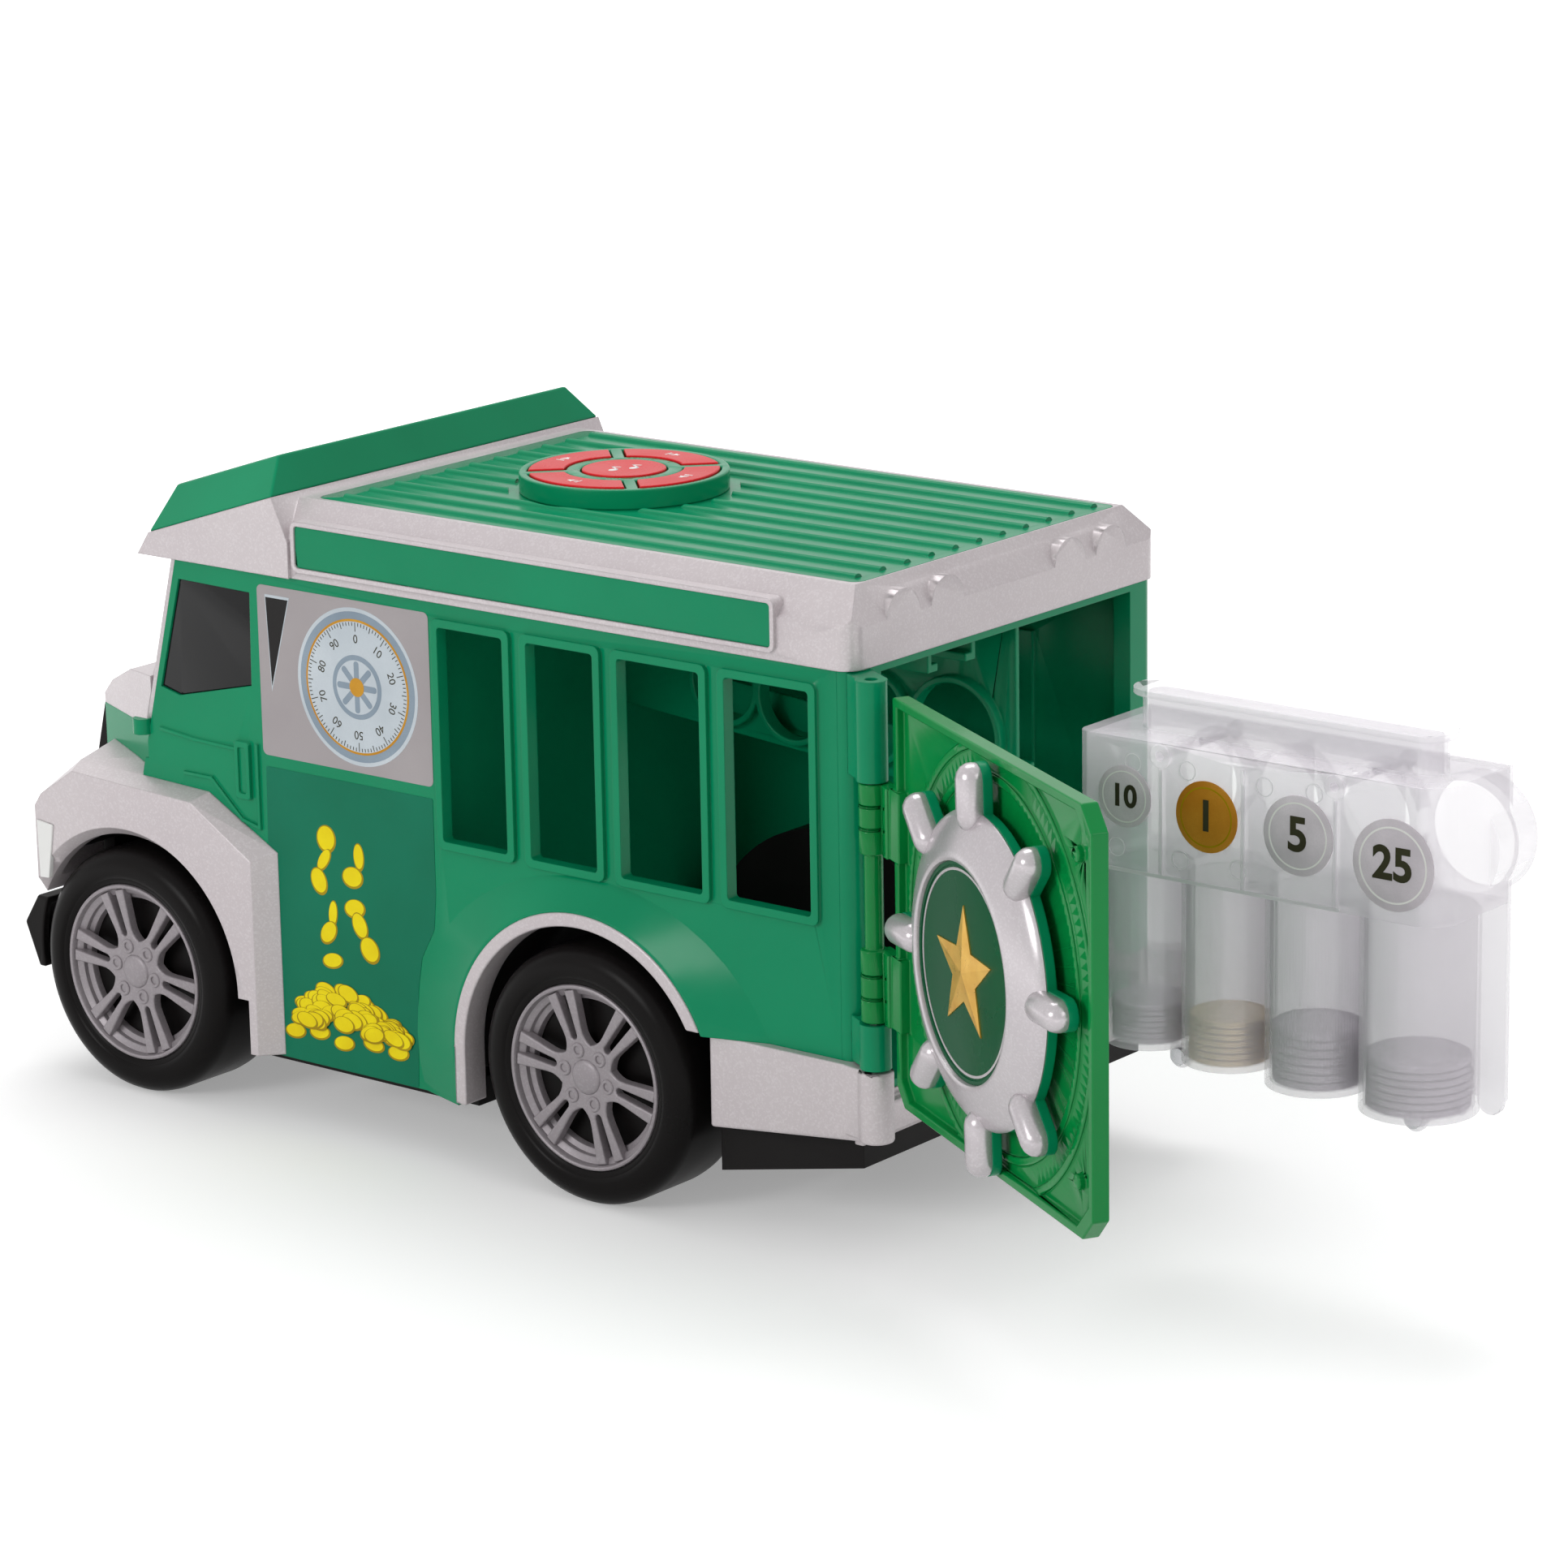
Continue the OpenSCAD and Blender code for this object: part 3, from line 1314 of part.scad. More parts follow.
module sorter_back() {
    color(clear) pulled() difference() {
        union() {
            prism_y(back_y, back_y + plate_t) {
                translate([cell_x, tube_z - 4]) square([end_x - cell_x, sorter_h + 4]);
                disc(end_x - 4, tube_z - 4.5, 3.4);
                for (ear = ears)
                    translate([ear[0] - 3, ear[1] - 3]) square([6, 9]);
            }
            for (tube = tubes)
                prism_y(back_y, back_y + plate_t + collar_l)
                    disc(inlet_x(tube), inlet_z(tube), tube[1] + 1.6);
            for (ear = ears)
                prism_y(web_y + 1.4, back_y + 0.1) disc(ear[0], ear[1], 2.2);
        }
        for (tube = tubes)
            prism_y(back_y - 1, back_y + 20) disc(inlet_x(tube), inlet_z(tube), tube[1] + 0.3);
        for (x = bosses)
            prism_y(back_y - 1, back_y + 5) disc(x, boss_z, 1.1);
        for (ear = ears)
            prism_y(web_y, web_y + 12) disc(ear[0], ear[1], 1);
    }
}

module sorter_screws() {
    color([0.7, 0.7, 0.72]) pulled() {
        for (x = bosses) {
            prism_y(back_y - 12, back_y + plate_t) disc(x, boss_z, 0.9);
            prism_y(back_y + plate_t, back_y + plate_t + 1.2) disc(x, boss_z, 2.1);
        }
        for (ear = ears) {
            prism_y(web_y, web_y + 10) disc(ear[0], ear[1], 0.9);
            prism_y(web_y - 1.2, web_y) disc(ear[0], ear[1], 2.1);
        }
    }
}

module coins(tube, d, t) {
    pulled() translate([tube[0], front_y + 0.5 + shell_t + tube[1], tube[2] + shell_t])
        for (i = [0 : coin_count - 1])
            translate([0, 0, i * t]) difference() {
                cylinder(h = t, d = d);
                translate([0, 0, t - 0.2]) cylinder(h = 1, d = d - 1.8);
            }
}

module coins_ten() { color([0.7, 0.7, 0.7]) coins(tubes[0], ten_d, 1.35); }
module coins_one() { color([0.8, 0.7, 0.4]) coins(tubes[1], one_d, 1.52); }
module coins_five() { color([0.7, 0.7, 0.7]) coins(tubes[2], five_d, 1.95); }
module coins_quarter() { color([0.7, 0.7, 0.7]) coins(tubes[3], quarter_d, 1.75); }

chassis();
battery_cover();
batteries();
base_screws();
circuit_board();
speaker();
body_left();
body_right();
cab_front();
bulkhead();
cargo_floor();
rear_frame();
roof_trim();
roof_panel();
spoiler();
sign_left();
sign_right();
button_housing();
button_front();
button_rear();
button_left();
button_right();
button_centre();
hood();
grille();
windshield_frame();
windshield();
side_window_left();
side_window_right();
headlights();
front_bumper();
fender_left();
fender_right();
arch_trim_left();
arch_trim_right();
rear_bumper();
front_axle();
rear_axle();
tyre_front_left();
tyre_front_right();
tyre_rear_left();
tyre_rear_right();
cap_front_left();
cap_front_right();
cap_rear_left();
cap_rear_right();
rear_door();
hinge_pin();
handwheel();
handwheel_disc();
handwheel_screw();
coin_ramp();
sorter_rail();
sorter_shell();
coin_tube_ten();
coin_tube_one();
coin_tube_five();
coin_tube_quarter();
sorter_back();
sorter_screws();
coins_ten();
coins_one();
coins_five();
coins_quarter();
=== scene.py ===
import json
import math
import random

import bmesh
import bpy
from mathutils import Matrix, Vector

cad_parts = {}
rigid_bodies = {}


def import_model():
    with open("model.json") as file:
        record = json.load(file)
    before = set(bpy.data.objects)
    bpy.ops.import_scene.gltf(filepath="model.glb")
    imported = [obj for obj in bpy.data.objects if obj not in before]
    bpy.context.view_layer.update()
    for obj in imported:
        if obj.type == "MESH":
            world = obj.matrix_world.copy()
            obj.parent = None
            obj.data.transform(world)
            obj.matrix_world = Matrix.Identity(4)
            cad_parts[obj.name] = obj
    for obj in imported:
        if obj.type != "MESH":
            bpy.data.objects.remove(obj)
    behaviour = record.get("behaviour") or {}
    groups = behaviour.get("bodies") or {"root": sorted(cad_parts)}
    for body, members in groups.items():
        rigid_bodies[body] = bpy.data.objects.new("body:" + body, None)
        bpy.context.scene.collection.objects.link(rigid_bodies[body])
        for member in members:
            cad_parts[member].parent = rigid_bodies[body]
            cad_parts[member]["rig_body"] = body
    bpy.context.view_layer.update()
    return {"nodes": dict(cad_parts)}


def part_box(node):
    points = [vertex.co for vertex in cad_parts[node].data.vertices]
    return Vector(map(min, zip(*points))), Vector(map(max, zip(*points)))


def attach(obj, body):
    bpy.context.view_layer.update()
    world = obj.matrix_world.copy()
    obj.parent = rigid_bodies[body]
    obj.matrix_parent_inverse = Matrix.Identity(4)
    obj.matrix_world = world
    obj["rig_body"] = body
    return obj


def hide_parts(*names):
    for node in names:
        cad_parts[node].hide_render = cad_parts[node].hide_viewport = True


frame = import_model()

nodes = frame["nodes"]
scene = bpy.context.scene
mm = 0.001

# shapes are drafted in millimetres, in the CAD frame, and scaled when they become a piece
truck = {"sideY": 60.25, "axleX": 77, "axleZ": 32.7, "wheelY": 65.75, "buttonsX": 39.5}
rearDoor = {"pin": (164.8, -61.85, 0), "turned": -119.9, "faceX": 163.1, "wheelY": 2.45, "wheelZ": 92.3}
foldAngle = {"edge": 32, "cutWall": 14}  # degrees past which a fold is shaded sharp
print("frame loaded,", len(nodes), "nodes")


# materials: plain sockets first, then noise for tone, gloss and bump
def srgb(red, green, blue):
    def channel(value):
        value /= 255
        return value / 12.92 if value < 0.04045 else ((value + 0.055) / 1.055) ** 2.4
    return (channel(red), channel(green), channel(blue), 1)


def startMaterial(name, sockets):
    material = bpy.data.materials.new(name)
    material.use_nodes = True
    tree = material.node_tree
    shader = tree.nodes["Principled BSDF"]
    for socket, value in sockets.items():
        shader.inputs[socket].default_value = value
    place = tree.nodes.new("ShaderNodeTexCoord").outputs["Object"]
    return material, tree, shader, place


def noiseOn(tree, place, scale, detail):
    texture = tree.nodes.new("ShaderNodeTexNoise")
    texture.inputs["Scale"].default_value = scale
    texture.inputs["Detail"].default_value = detail
    tree.links.new(place, texture.inputs["Vector"])
    return texture.outputs["Fac"]


def spreadTo(tree, factor, low, high, start=0.3, end=0.7):
    spread = tree.nodes.new("ShaderNodeMapRange")
    for socket, value in (("From Min", start), ("From Max", end), ("To Min", low), ("To Max", high)):
        spread.inputs[socket].default_value = value
    tree.links.new(factor, spread.inputs["Value"])
    return spread.outputs["Result"]


def mixColours(tree, factor, first, second):
    mix = tree.nodes.new("ShaderNodeMix")
    mix.data_type = "RGBA"
    tree.links.new(factor, mix.inputs[0])
    for slot, colour in ((6, first), (7, second)):
        if isinstance(colour, tuple):
            mix.inputs[slot].default_value = colour
        else:
            tree.links.new(colour, mix.inputs[slot])
    return mix.outputs[2]


def bumpOn(tree, height, strength, depth, under=None):
    bump = tree.nodes.new("ShaderNodeBump")
    bump.inputs["Strength"].default_value = strength
    bump.inputs["Distance"].default_value = depth
    tree.links.new(height, bump.inputs["Height"])
    if under:
        tree.links.new(under, bump.inputs["Normal"])
    return bump.outputs["Normal"]


def roundedOn(tree, radius):  # edges catch the light as if a mould had left them round
    edge = tree.nodes.new("ShaderNodeBevel")
    edge.samples = 4
    edge.inputs["Radius"].default_value = radius
    return edge.outputs["Normal"]


def mouldedPlastic(name, look):  # flow-mottled tone, smudged gloss, a faint wave and a fine grain
    material, tree, shader, place = startMaterial(name, look.get("sockets", {}))
    tone = spreadTo(tree, noiseOn(tree, place, scale=22, detail=3), 0, 1)
    tree.links.new(mixColours(tree, tone, look["colour"], look["shade"]), shader.inputs["Base Color"])
    smudges = spreadTo(tree, noiseOn(tree, place, scale=65, detail=5), *look["gloss"])
    tree.links.new(smudges, shader.inputs["Roughness"])
    edge = roundedOn(tree, look["edge"]) if "edge" in look else None
    waves = noiseOn(tree, place, scale=42, detail=1)
    waved = bumpOn(tree, waves, strength=look.get("wave", 0.12), depth=0.0007, under=edge)
    grains = noiseOn(tree, place, scale=2400, detail=1)
    grained = bumpOn(tree, grains, strength=look.get("grain", 0.04), depth=0.00005, under=waved)
    tree.links.new(grained, shader.inputs["Normal"])
    return material


def flakedPlastic(name, look):  # plastic with aluminium flakes moulded in
    material, tree, shader, place = startMaterial(name, look.get("sockets", {}))
    flakes = tree.nodes.new("ShaderNodeTexVoronoi")
    flakes.inputs["Scale"].default_value = 2300
    tree.links.new(place, flakes.inputs["Vector"])
    parted = tree.nodes.new("ShaderNodeSeparateColor")
    tree.links.new(flakes.outputs["Color"], parted.inputs["Color"])
    patches = spreadTo(tree, noiseOn(tree, place, scale=26, detail=3), 0, 1)
    tone = mixColours(tree, patches, look["colour"], look["shade"])
    glints = spreadTo(tree, parted.outputs[0], 0, look["glint"], start=0.55, end=1)
    tree.links.new(mixColours(tree, glints, tone, look["spark"]), shader.inputs["Base Color"])
    smudges = spreadTo(tree, noiseOn(tree, place, scale=70, detail=5), *look["gloss"])
    tree.links.new(smudges, shader.inputs["Roughness"])
    edge = roundedOn(tree, look["edge"]) if "edge" in look else None
    waved = bumpOn(tree, noiseOn(tree, place, scale=40, detail=1), strength=0.1, depth=0.0007, under=edge)
    flaked = bumpOn(tree, parted.outputs[1], strength=0.05, depth=0.00004, under=waved)
    tree.links.new(flaked, shader.inputs["Normal"])
    return material


def brushedMetal(name, look):
    material, tree, shader, place = startMaterial(name, {"Metallic": look.get("metallic", 1.0)})
    tone = spreadTo(tree, noiseOn(tree, place, scale=160, detail=4), 0, 1)
    tree.links.new(mixColours(tree, tone, look["colour"], look["shade"]), shader.inputs["Base Color"])
    smudges = spreadTo(tree, noiseOn(tree, place, scale=300, detail=4), *look["gloss"])
    tree.links.new(smudges, shader.inputs["Roughness"])
    brushed = bumpOn(tree, noiseOn(tree, place, scale=900, detail=3), strength=0.12, depth=0.0001)
    tree.links.new(brushed, shader.inputs["Normal"])
    return material


def printedFilm(name, look):  # a printed sticker with a dot screen too fine to see as dots
    material, tree, shader, place = startMaterial(name, look.get("sockets", filmGloss))
    tone = spreadTo(tree, noiseOn(tree, place, scale=look.get("patch", 35), detail=3), 0, 1)
    inked = mixColours(tree, tone, look["colour"], look["shade"])
    dots = spreadTo(tree, noiseOn(tree, place, scale=3000, detail=0), 0, 0.25)
    tree.links.new(mixColours(tree, dots, inked, look["shade"]), shader.inputs["Base Color"])
    rippled = bumpOn(tree, noiseOn(tree, place, scale=120, detail=2), strength=0.05, depth=0.0003)
    tree.links.new(rippled, shader.inputs["Normal"])
    return material


satin = {"Specular IOR Level": 0.1}
glossy = {"Specular IOR Level": 0.25}
filmGloss = {"Roughness": 0.3, "Specular IOR Level": 0.12}
labelGloss = {"Roughness": 0.3, "Specular IOR Level": 0.25}
greenShell = mouldedPlastic("green_plastic", {
    "colour": srgb(6, 142, 97), "shade": srgb(4, 134, 91), "gloss": (0.16, 0.26), "edge": 0.0004,
    "sockets": {"Specular IOR Level": 0.14}})
greenDisc = mouldedPlastic("dark_green_plastic", {
    "colour": srgb(6, 84, 50), "shade": srgb(5, 75, 44), "gloss": (0.22, 0.32), "sockets": satin})
silverShell = flakedPlastic("silver_plastic", {
    "colour": srgb(200, 192, 194), "shade": srgb(194, 185, 188), "spark": srgb(226, 221, 223),
    "gloss": (0.28, 0.38), "glint": 0.3, "edge": 0.0005,
    "sockets": {"Metallic": 0.2, "Specular IOR Level": 0.4}})
wheelSilver = flakedPlastic("wheel_silver", {
    "colour": srgb(152, 145, 149), "shade": srgb(142, 135, 139), "spark": srgb(180, 175, 179),
    "gloss": (0.36, 0.46), "glint": 0.25, "sockets": {"Metallic": 0.25, "Specular IOR Level": 0.4}})
handwheelSilver = flakedPlastic("handwheel_silver", {
    "colour": srgb(196, 190, 193), "shade": srgb(188, 181, 185), "spark": srgb(222, 218, 220),
    "gloss": (0.2, 0.28), "glint": 0.25, "sockets": {"Metallic": 0.45}})
blackShell = mouldedPlastic("black_plastic", {
    "colour": srgb(20, 18, 18), "shade": srgb(27, 25, 25), "gloss": (0.38, 0.5), "grain": 0.12,
    "edge": 0.0004, "sockets": satin})
# the windows are opaque near-black gloss: partly their own dark tint, partly painted shade of the unlit
# inside of the body that would show through them
windowTintAndShade = mouldedPlastic("window_tint_and_painted_shade", {
    "colour": srgb(20, 20, 21), "shade": srgb(25, 25, 26), "gloss": (0.06, 0.12), "sockets": glossy})
tyreBlack = mouldedPlastic("tyre_rubber", {
    "colour": srgb(16, 14, 14), "shade": srgb(21, 19, 19), "gloss": (0.26, 0.36), "grain": 0.08,
    "sockets": {"Specular IOR Level": 0.07}})
buttonRed = mouldedPlastic("red_plastic", {
    "colour": srgb(216, 26, 34), "shade": srgb(206, 18, 28), "gloss": (0.22, 0.32), "sockets": satin})
doorGreen = mouldedPlastic("door_green", {
    "colour": srgb(6, 146, 70), "shade": srgb(4, 136, 63), "gloss": (0.12, 0.2), "wave": 0.2,
    "sockets": {"Transmission Weight": 0.12, "IOR": 1.45, "Specular IOR Level": 0.2}})
clearShell = mouldedPlastic("clear_plastic", {
    "colour": srgb(250, 245, 251), "shade": srgb(243, 238, 245), "gloss": (0.1, 0.2), "wave": 0.1,
    "sockets": {"Alpha": 0.32, "Specular IOR Level": 0.8}})
clearRim = mouldedPlastic("clear_rim", {
    "colour": srgb(250, 246, 251), "shade": srgb(243, 239, 245), "gloss": (0.1, 0.2),
    "sockets": {"Alpha": 0.5, "Specular IOR Level": 0.8}})
lampWhite = mouldedPlastic("lamp_white", {
    "colour": srgb(238, 238, 236), "shade": srgb(230, 230, 228), "gloss": (0.2, 0.3), "sockets": satin})
brightSteel = brushedMetal("steel", {
    "colour": srgb(200, 200, 202), "shade": srgb(170, 170, 174), "gloss": (0.22, 0.36)})
nickelCoin = brushedMetal("coin_nickel", {
    "colour": srgb(168, 162, 170), "shade": srgb(136, 130, 138), "gloss": (0.34, 0.5), "metallic": 0.75})
copperCoin = brushedMetal("coin_copper", {
    "colour": srgb(214, 192, 140), "shade": srgb(190, 164, 112), "gloss": (0.34, 0.5), "metallic": 0.7})
boardGreen = mouldedPlastic("board_green", {
    "colour": srgb(40, 96, 60), "shade": srgb(30, 80, 50), "gloss": (0.3, 0.4)})
speakerBlack = mouldedPlastic("speaker_black", {
    "colour": srgb(36, 36, 38), "shade": srgb(28, 28, 30), "gloss": (0.5, 0.6), "grain": 0.2})
cellWrap = mouldedPlastic("cell_wrap", {
    "colour": srgb(190, 140, 60), "shade": srgb(180, 128, 50), "gloss": (0.2, 0.3)})
filmSilver = printedFilm("film_silver", {"colour": srgb(172, 166, 167), "shade": srgb(164, 157, 159)})
filmGreen = printedFilm("film_green", {"colour": srgb(6, 118, 88), "shade": srgb(5, 110, 80)})
filmBlack = printedFilm("film_black", {"colour": srgb(26, 24, 24), "shade": srgb(34, 32, 32)})
filmBlue = printedFilm("film_blue_grey", {
    "colour": srgb(150, 165, 178), "shade": srgb(134, 149, 163), "patch": 60})
filmPale = printedFilm("film_pale", {
    "colour": srgb(206, 214, 220), "shade": srgb(190, 199, 206), "patch": 60})
filmGold = printedFilm("film_gold", {
    "colour": srgb(212, 156, 52), "shade": srgb(190, 132, 32), "patch": 90})
filmYellow = printedFilm("film_yellow", {
    "colour": srgb(246, 226, 20), "shade": srgb(234, 208, 12), "patch": 120})
filmOlive = printedFilm("film_olive", {
    "colour": srgb(176, 148, 12), "shade": srgb(158, 130, 10), "patch": 120})
filmWhite = printedFilm("film_white", {"colour": srgb(240, 238, 236), "shade": srgb(228, 226, 224)})
filmInk = printedFilm("film_ink", {"colour": srgb(52, 50, 36), "shade": srgb(62, 60, 44)})
labelSilver = printedFilm("label_silver", {
    "colour": srgb(222, 212, 220), "shade": srgb(196, 187, 195), "patch": 90, "sockets": labelGloss})
labelGold = printedFilm("label_gold", {
    "colour": srgb(206, 142, 48), "shade": srgb(178, 112, 26), "patch": 90, "sockets": labelGloss})
starGold = brushedMetal("star_gold", {
    "colour": srgb(232, 186, 84), "shade": srgb(208, 156, 56), "gloss": (0.25, 0.38), "metallic": 0.6})
print("materials made,", len(bpy.data.materials))


# pieces are drafted in a bmesh, in millimetres, and finished by newPiece
def newPiece(name, shape, material, body, sharp=foldAngle["edge"], replaced=(), closed=True,
             levelled=False):
    if closed:
        bmesh.ops.recalc_face_normals(shape, faces=shape.faces)
    bmesh.ops.scale(shape, vec=(mm, mm, mm), verts=shape.verts)
    mesh = bpy.data.meshes.new(name)
    shape.to_mesh(mesh)
    shape.free()
    mesh.materials.append(material)
    mesh.polygons.foreach_set("use_smooth", [True] * len(mesh.polygons))
    mesh.set_sharp_from_angle(angle=math.radians(sharp))
    piece = bpy.data.objects.new(name, mesh)
    scene.collection.objects.link(piece)
    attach(piece, body)
    if replaced:
        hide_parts(*replaced)
    if levelled:  # big flats keep an even shade beside small roundings
        levelling = piece.modifiers.new("levelling", "WEIGHTED_NORMAL")
        levelling.keep_sharp = True
    return piece


def pieceName(nodeName):
    words = nodeName.split("_")
    return words[0] + "".join(word.capitalize() for word in words[1:])


def nodeShape(nodeName):  # a merged copy of a CAD node, in millimetres, with its flats made whole
    shape = bmesh.new()
    shape.from_mesh(nodes[nodeName].data)
    bmesh.ops.scale(shape, vec=(1000, 1000, 1000), verts=shape.verts)
    bmesh.ops.remove_doubles(shape, verts=shape.verts, dist=0.002)
    bmesh.ops.dissolve_limit(shape, angle_limit=math.radians(0.7), verts=shape.verts, edges=shape.edges)
    wide = [face for face in shape.faces if len(face.verts) > 4]
    bmesh.ops.triangulate(shape, faces=wide, quad_method="BEAUTY", ngon_method="BEAUTY")
    return shape


def softenEdges(piece, width):
    rounding = piece.modifiers.new("rounding", "BEVEL")
    rounding.width = width * mm
    rounding.segments = 2
    rounding.limit_method = "ANGLE"
    rounding.angle_limit = math.radians(foldAngle["edge"])
    rounding.use_clamp_overlap = False
    rounding.harden_normals = True


def roundedNode(nodeName, material, width):  # a node's faces already point outwards
    body = nodes[nodeName]["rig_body"]
    sharp = foldAngle["edge" if width else "cutWall"]
    piece = newPiece(pieceName(nodeName), nodeShape(nodeName), material, body, sharp, (nodeName,),
                     closed=False, levelled=not width)
    if width:
        softenEdges(piece, width)


def spinProfile(shape, profile, steps, closed=True):  # profile points are (radius, height)
    made = [shape.verts.new((radius, 0, height)) for radius, height in profile]
    ends = made[1:] + made[:1] if closed else made[1:]
    edges = [shape.edges.new(pair) for pair in zip(made, ends)]
    bmesh.ops.spin(shape, geom=made + edges, cent=(0, 0, 0), axis=(0, 0, 1), dvec=(0, 0, 0),
                   angle=math.radians(360), steps=steps, use_merge=True)
    bmesh.ops.remove_doubles(shape, verts=shape.verts, dist=0.0005)


def joinShape(shape, other, place):
    part = bpy.data.meshes.new("part")
    other.to_mesh(part)
    other.free()
    part.transform(place)
    shape.from_mesh(part)
    bpy.data.meshes.remove(part)


def raiseFace(shape, face, height):
    lifted = bmesh.ops.extrude_face_region(shape, geom=[face])["geom"]
    corners = [item for item in lifted if isinstance(item, bmesh.types.BMVert)]
    bmesh.ops.translate(shape, vec=(0, 0, height), verts=corners)
    return [f for f in lifted if isinstance(f, bmesh.types.BMFace)][0]


def addDisc(shape, radius, low, high, at=(0, 0), stretch=1.0, turn=0.0, segments=48):
    turned = Matrix.Translation((at[0], at[1], low)) @ Matrix.Rotation(turn, 4, "Z")
    made = bmesh.ops.create_circle(shape, cap_ends=True, segments=segments, radius=radius,
                                   matrix=turned @ Matrix.Diagonal((1, stretch, 1, 1)))
    raiseFace(shape, made["verts"][0].link_faces[0], high - low)


def rectangle(left, bottom, right, top):
    return [(left, bottom), (right, bottom), (right, top), (left, top)]


def addPlate(shape, corners, low, high, rounding=0.0):
    earlier = set(shape.faces)
    verts = [shape.verts.new((x, y, low)) for x, y in corners]
    shape.faces.new(verts)
    if rounding:
        bmesh.ops.bevel(shape, geom=verts, offset=rounding, offset_type="OFFSET", segments=6, profile=0.5,
                        affect="VERTICES", material=-1)
    face = [f for f in shape.faces if f not in earlier][0]
    raiseFace(shape, face, high - low)


def addWords(shape, words, size, low, high, at=(0, 0), weight=0.0):
    curve = bpy.data.curves.new("words", "FONT")
    curve.body = words
    curve.size = size
    curve.align_x = "CENTER"
    curve.align_y = "CENTER"
    curve.offset = weight
    curve.extrude = (high - low) / 2
    curve.resolution_u = 5
    holder = bpy.data.objects.new("words", curve)
    scene.collection.objects.link(holder)
    flat = bpy.data.meshes.new_from_object(holder.evaluated_get(bpy.context.evaluated_depsgraph_get()))
    flat.transform(Matrix.Translation((at[0], at[1], (low + high) / 2)))
    shape.from_mesh(flat)
    bpy.data.objects.remove(holder)
    bpy.data.curves.remove(curve)
    bpy.data.meshes.remove(flat)


def placeShape(shape, place):
    bmesh.ops.transform(shape, matrix=place, verts=shape.verts)


def onSide(side, lift=0.0):  # x along the truck, y up, z outwards from the left (-1) or right (1) wall
    place = Matrix.Translation((0, side * (truck["sideY"] + lift), 0))
    if side < 0:
        return place @ Matrix.Rotation(math.radians(90), 4, "X")
    return place @ Matrix.Diagonal((1, -1, 1, 1)) @ Matrix.Rotation(math.radians(90), 4, "X")


# z along the axle of the handwheel, out of the door where it stands open at rest
doorTurn = (Matrix.Translation(rearDoor["pin"]) @ Matrix.Rotation(math.radians(rearDoor["turned"]), 4, "Z")
            @ Matrix.Translation(-Vector(rearDoor["pin"])))
onHandwheel = (doorTurn @ Matrix.Translation((rearDoor["faceX"], rearDoor["wheelY"], rearDoor["wheelZ"]))
               @ Matrix.Rotation(math.radians(90), 4, "Y"))


# CAD nodes that keep their shape, with their edges rounded as a mould leaves them
# 0 leaves the rounding to the material, for walls that are too finely cut to bevel
roundings = {
    "green_plastic": (greenShell, {
        "body_left": 0, "body_right": 0, "cab_front": 0, "bulkhead": 0.3, "cargo_floor": 0.3,
        "rear_frame": 0, "roof_panel": 0, "spoiler": 0.6, "sign_left": 0.25, "sign_right": 0.25,
        "button_housing": 0.4, "coin_ramp": 0.3, "sorter_rail": 0.3}),
    "silver_plastic": (silverShell, {
        "roof_trim": 0, "hood": 0, "windshield_frame": 0, "fender_left": 0, "fender_right": 0,
        "arch_trim_left": 0.5, "arch_trim_right": 0.5, "rear_bumper": 0.6}),
    "black_plastic": (blackShell, {"chassis": 0, "battery_cover": 0.3, "grille": 0.4, "front_bumper": 0.6}),
    "tinted_window": (windowTintAndShade, {"windshield": 0.4, "side_window_left": 0.3, "side_window_right": 0.3}),
    "red_button": (buttonRed, {
        "button_front": 0.4, "button_rear": 0.4, "button_left": 0.4, "button_right": 0.4,
        "button_centre": 0.4}),
    "lamp_white": (lampWhite, {"headlights": 0.3}),
    "door_plastic": (doorGreen, {"rear_door": 0.45}),
    "clear_plastic": (clearShell, {
        "sorter_shell": 0.2, "sorter_back": 0.2, "coin_tube_ten": 0.15, "coin_tube_one": 0.15,
        "coin_tube_five": 0.15, "coin_tube_quarter": 0.15}),
    "steel": (brightSteel, {
        "front_axle": 0.2, "rear_axle": 0.2, "hinge_pin": 0.3, "handwheel_screw": 0.2, "sorter_screws": 0.1,
        "base_screws": 0.15}),
    "board_green": (boardGreen, {"circuit_board": 0.1}),
    "speaker_black": (speakerBlack, {"speaker": 0.2}),
    "cell_wrap": (cellWrap, {"batteries": 0.3}),
}
for slotName, (material, widths) in roundings.items():
    for nodeName, width in widths.items():
        roundedNode(nodeName, material, width)
print("nodes rounded")


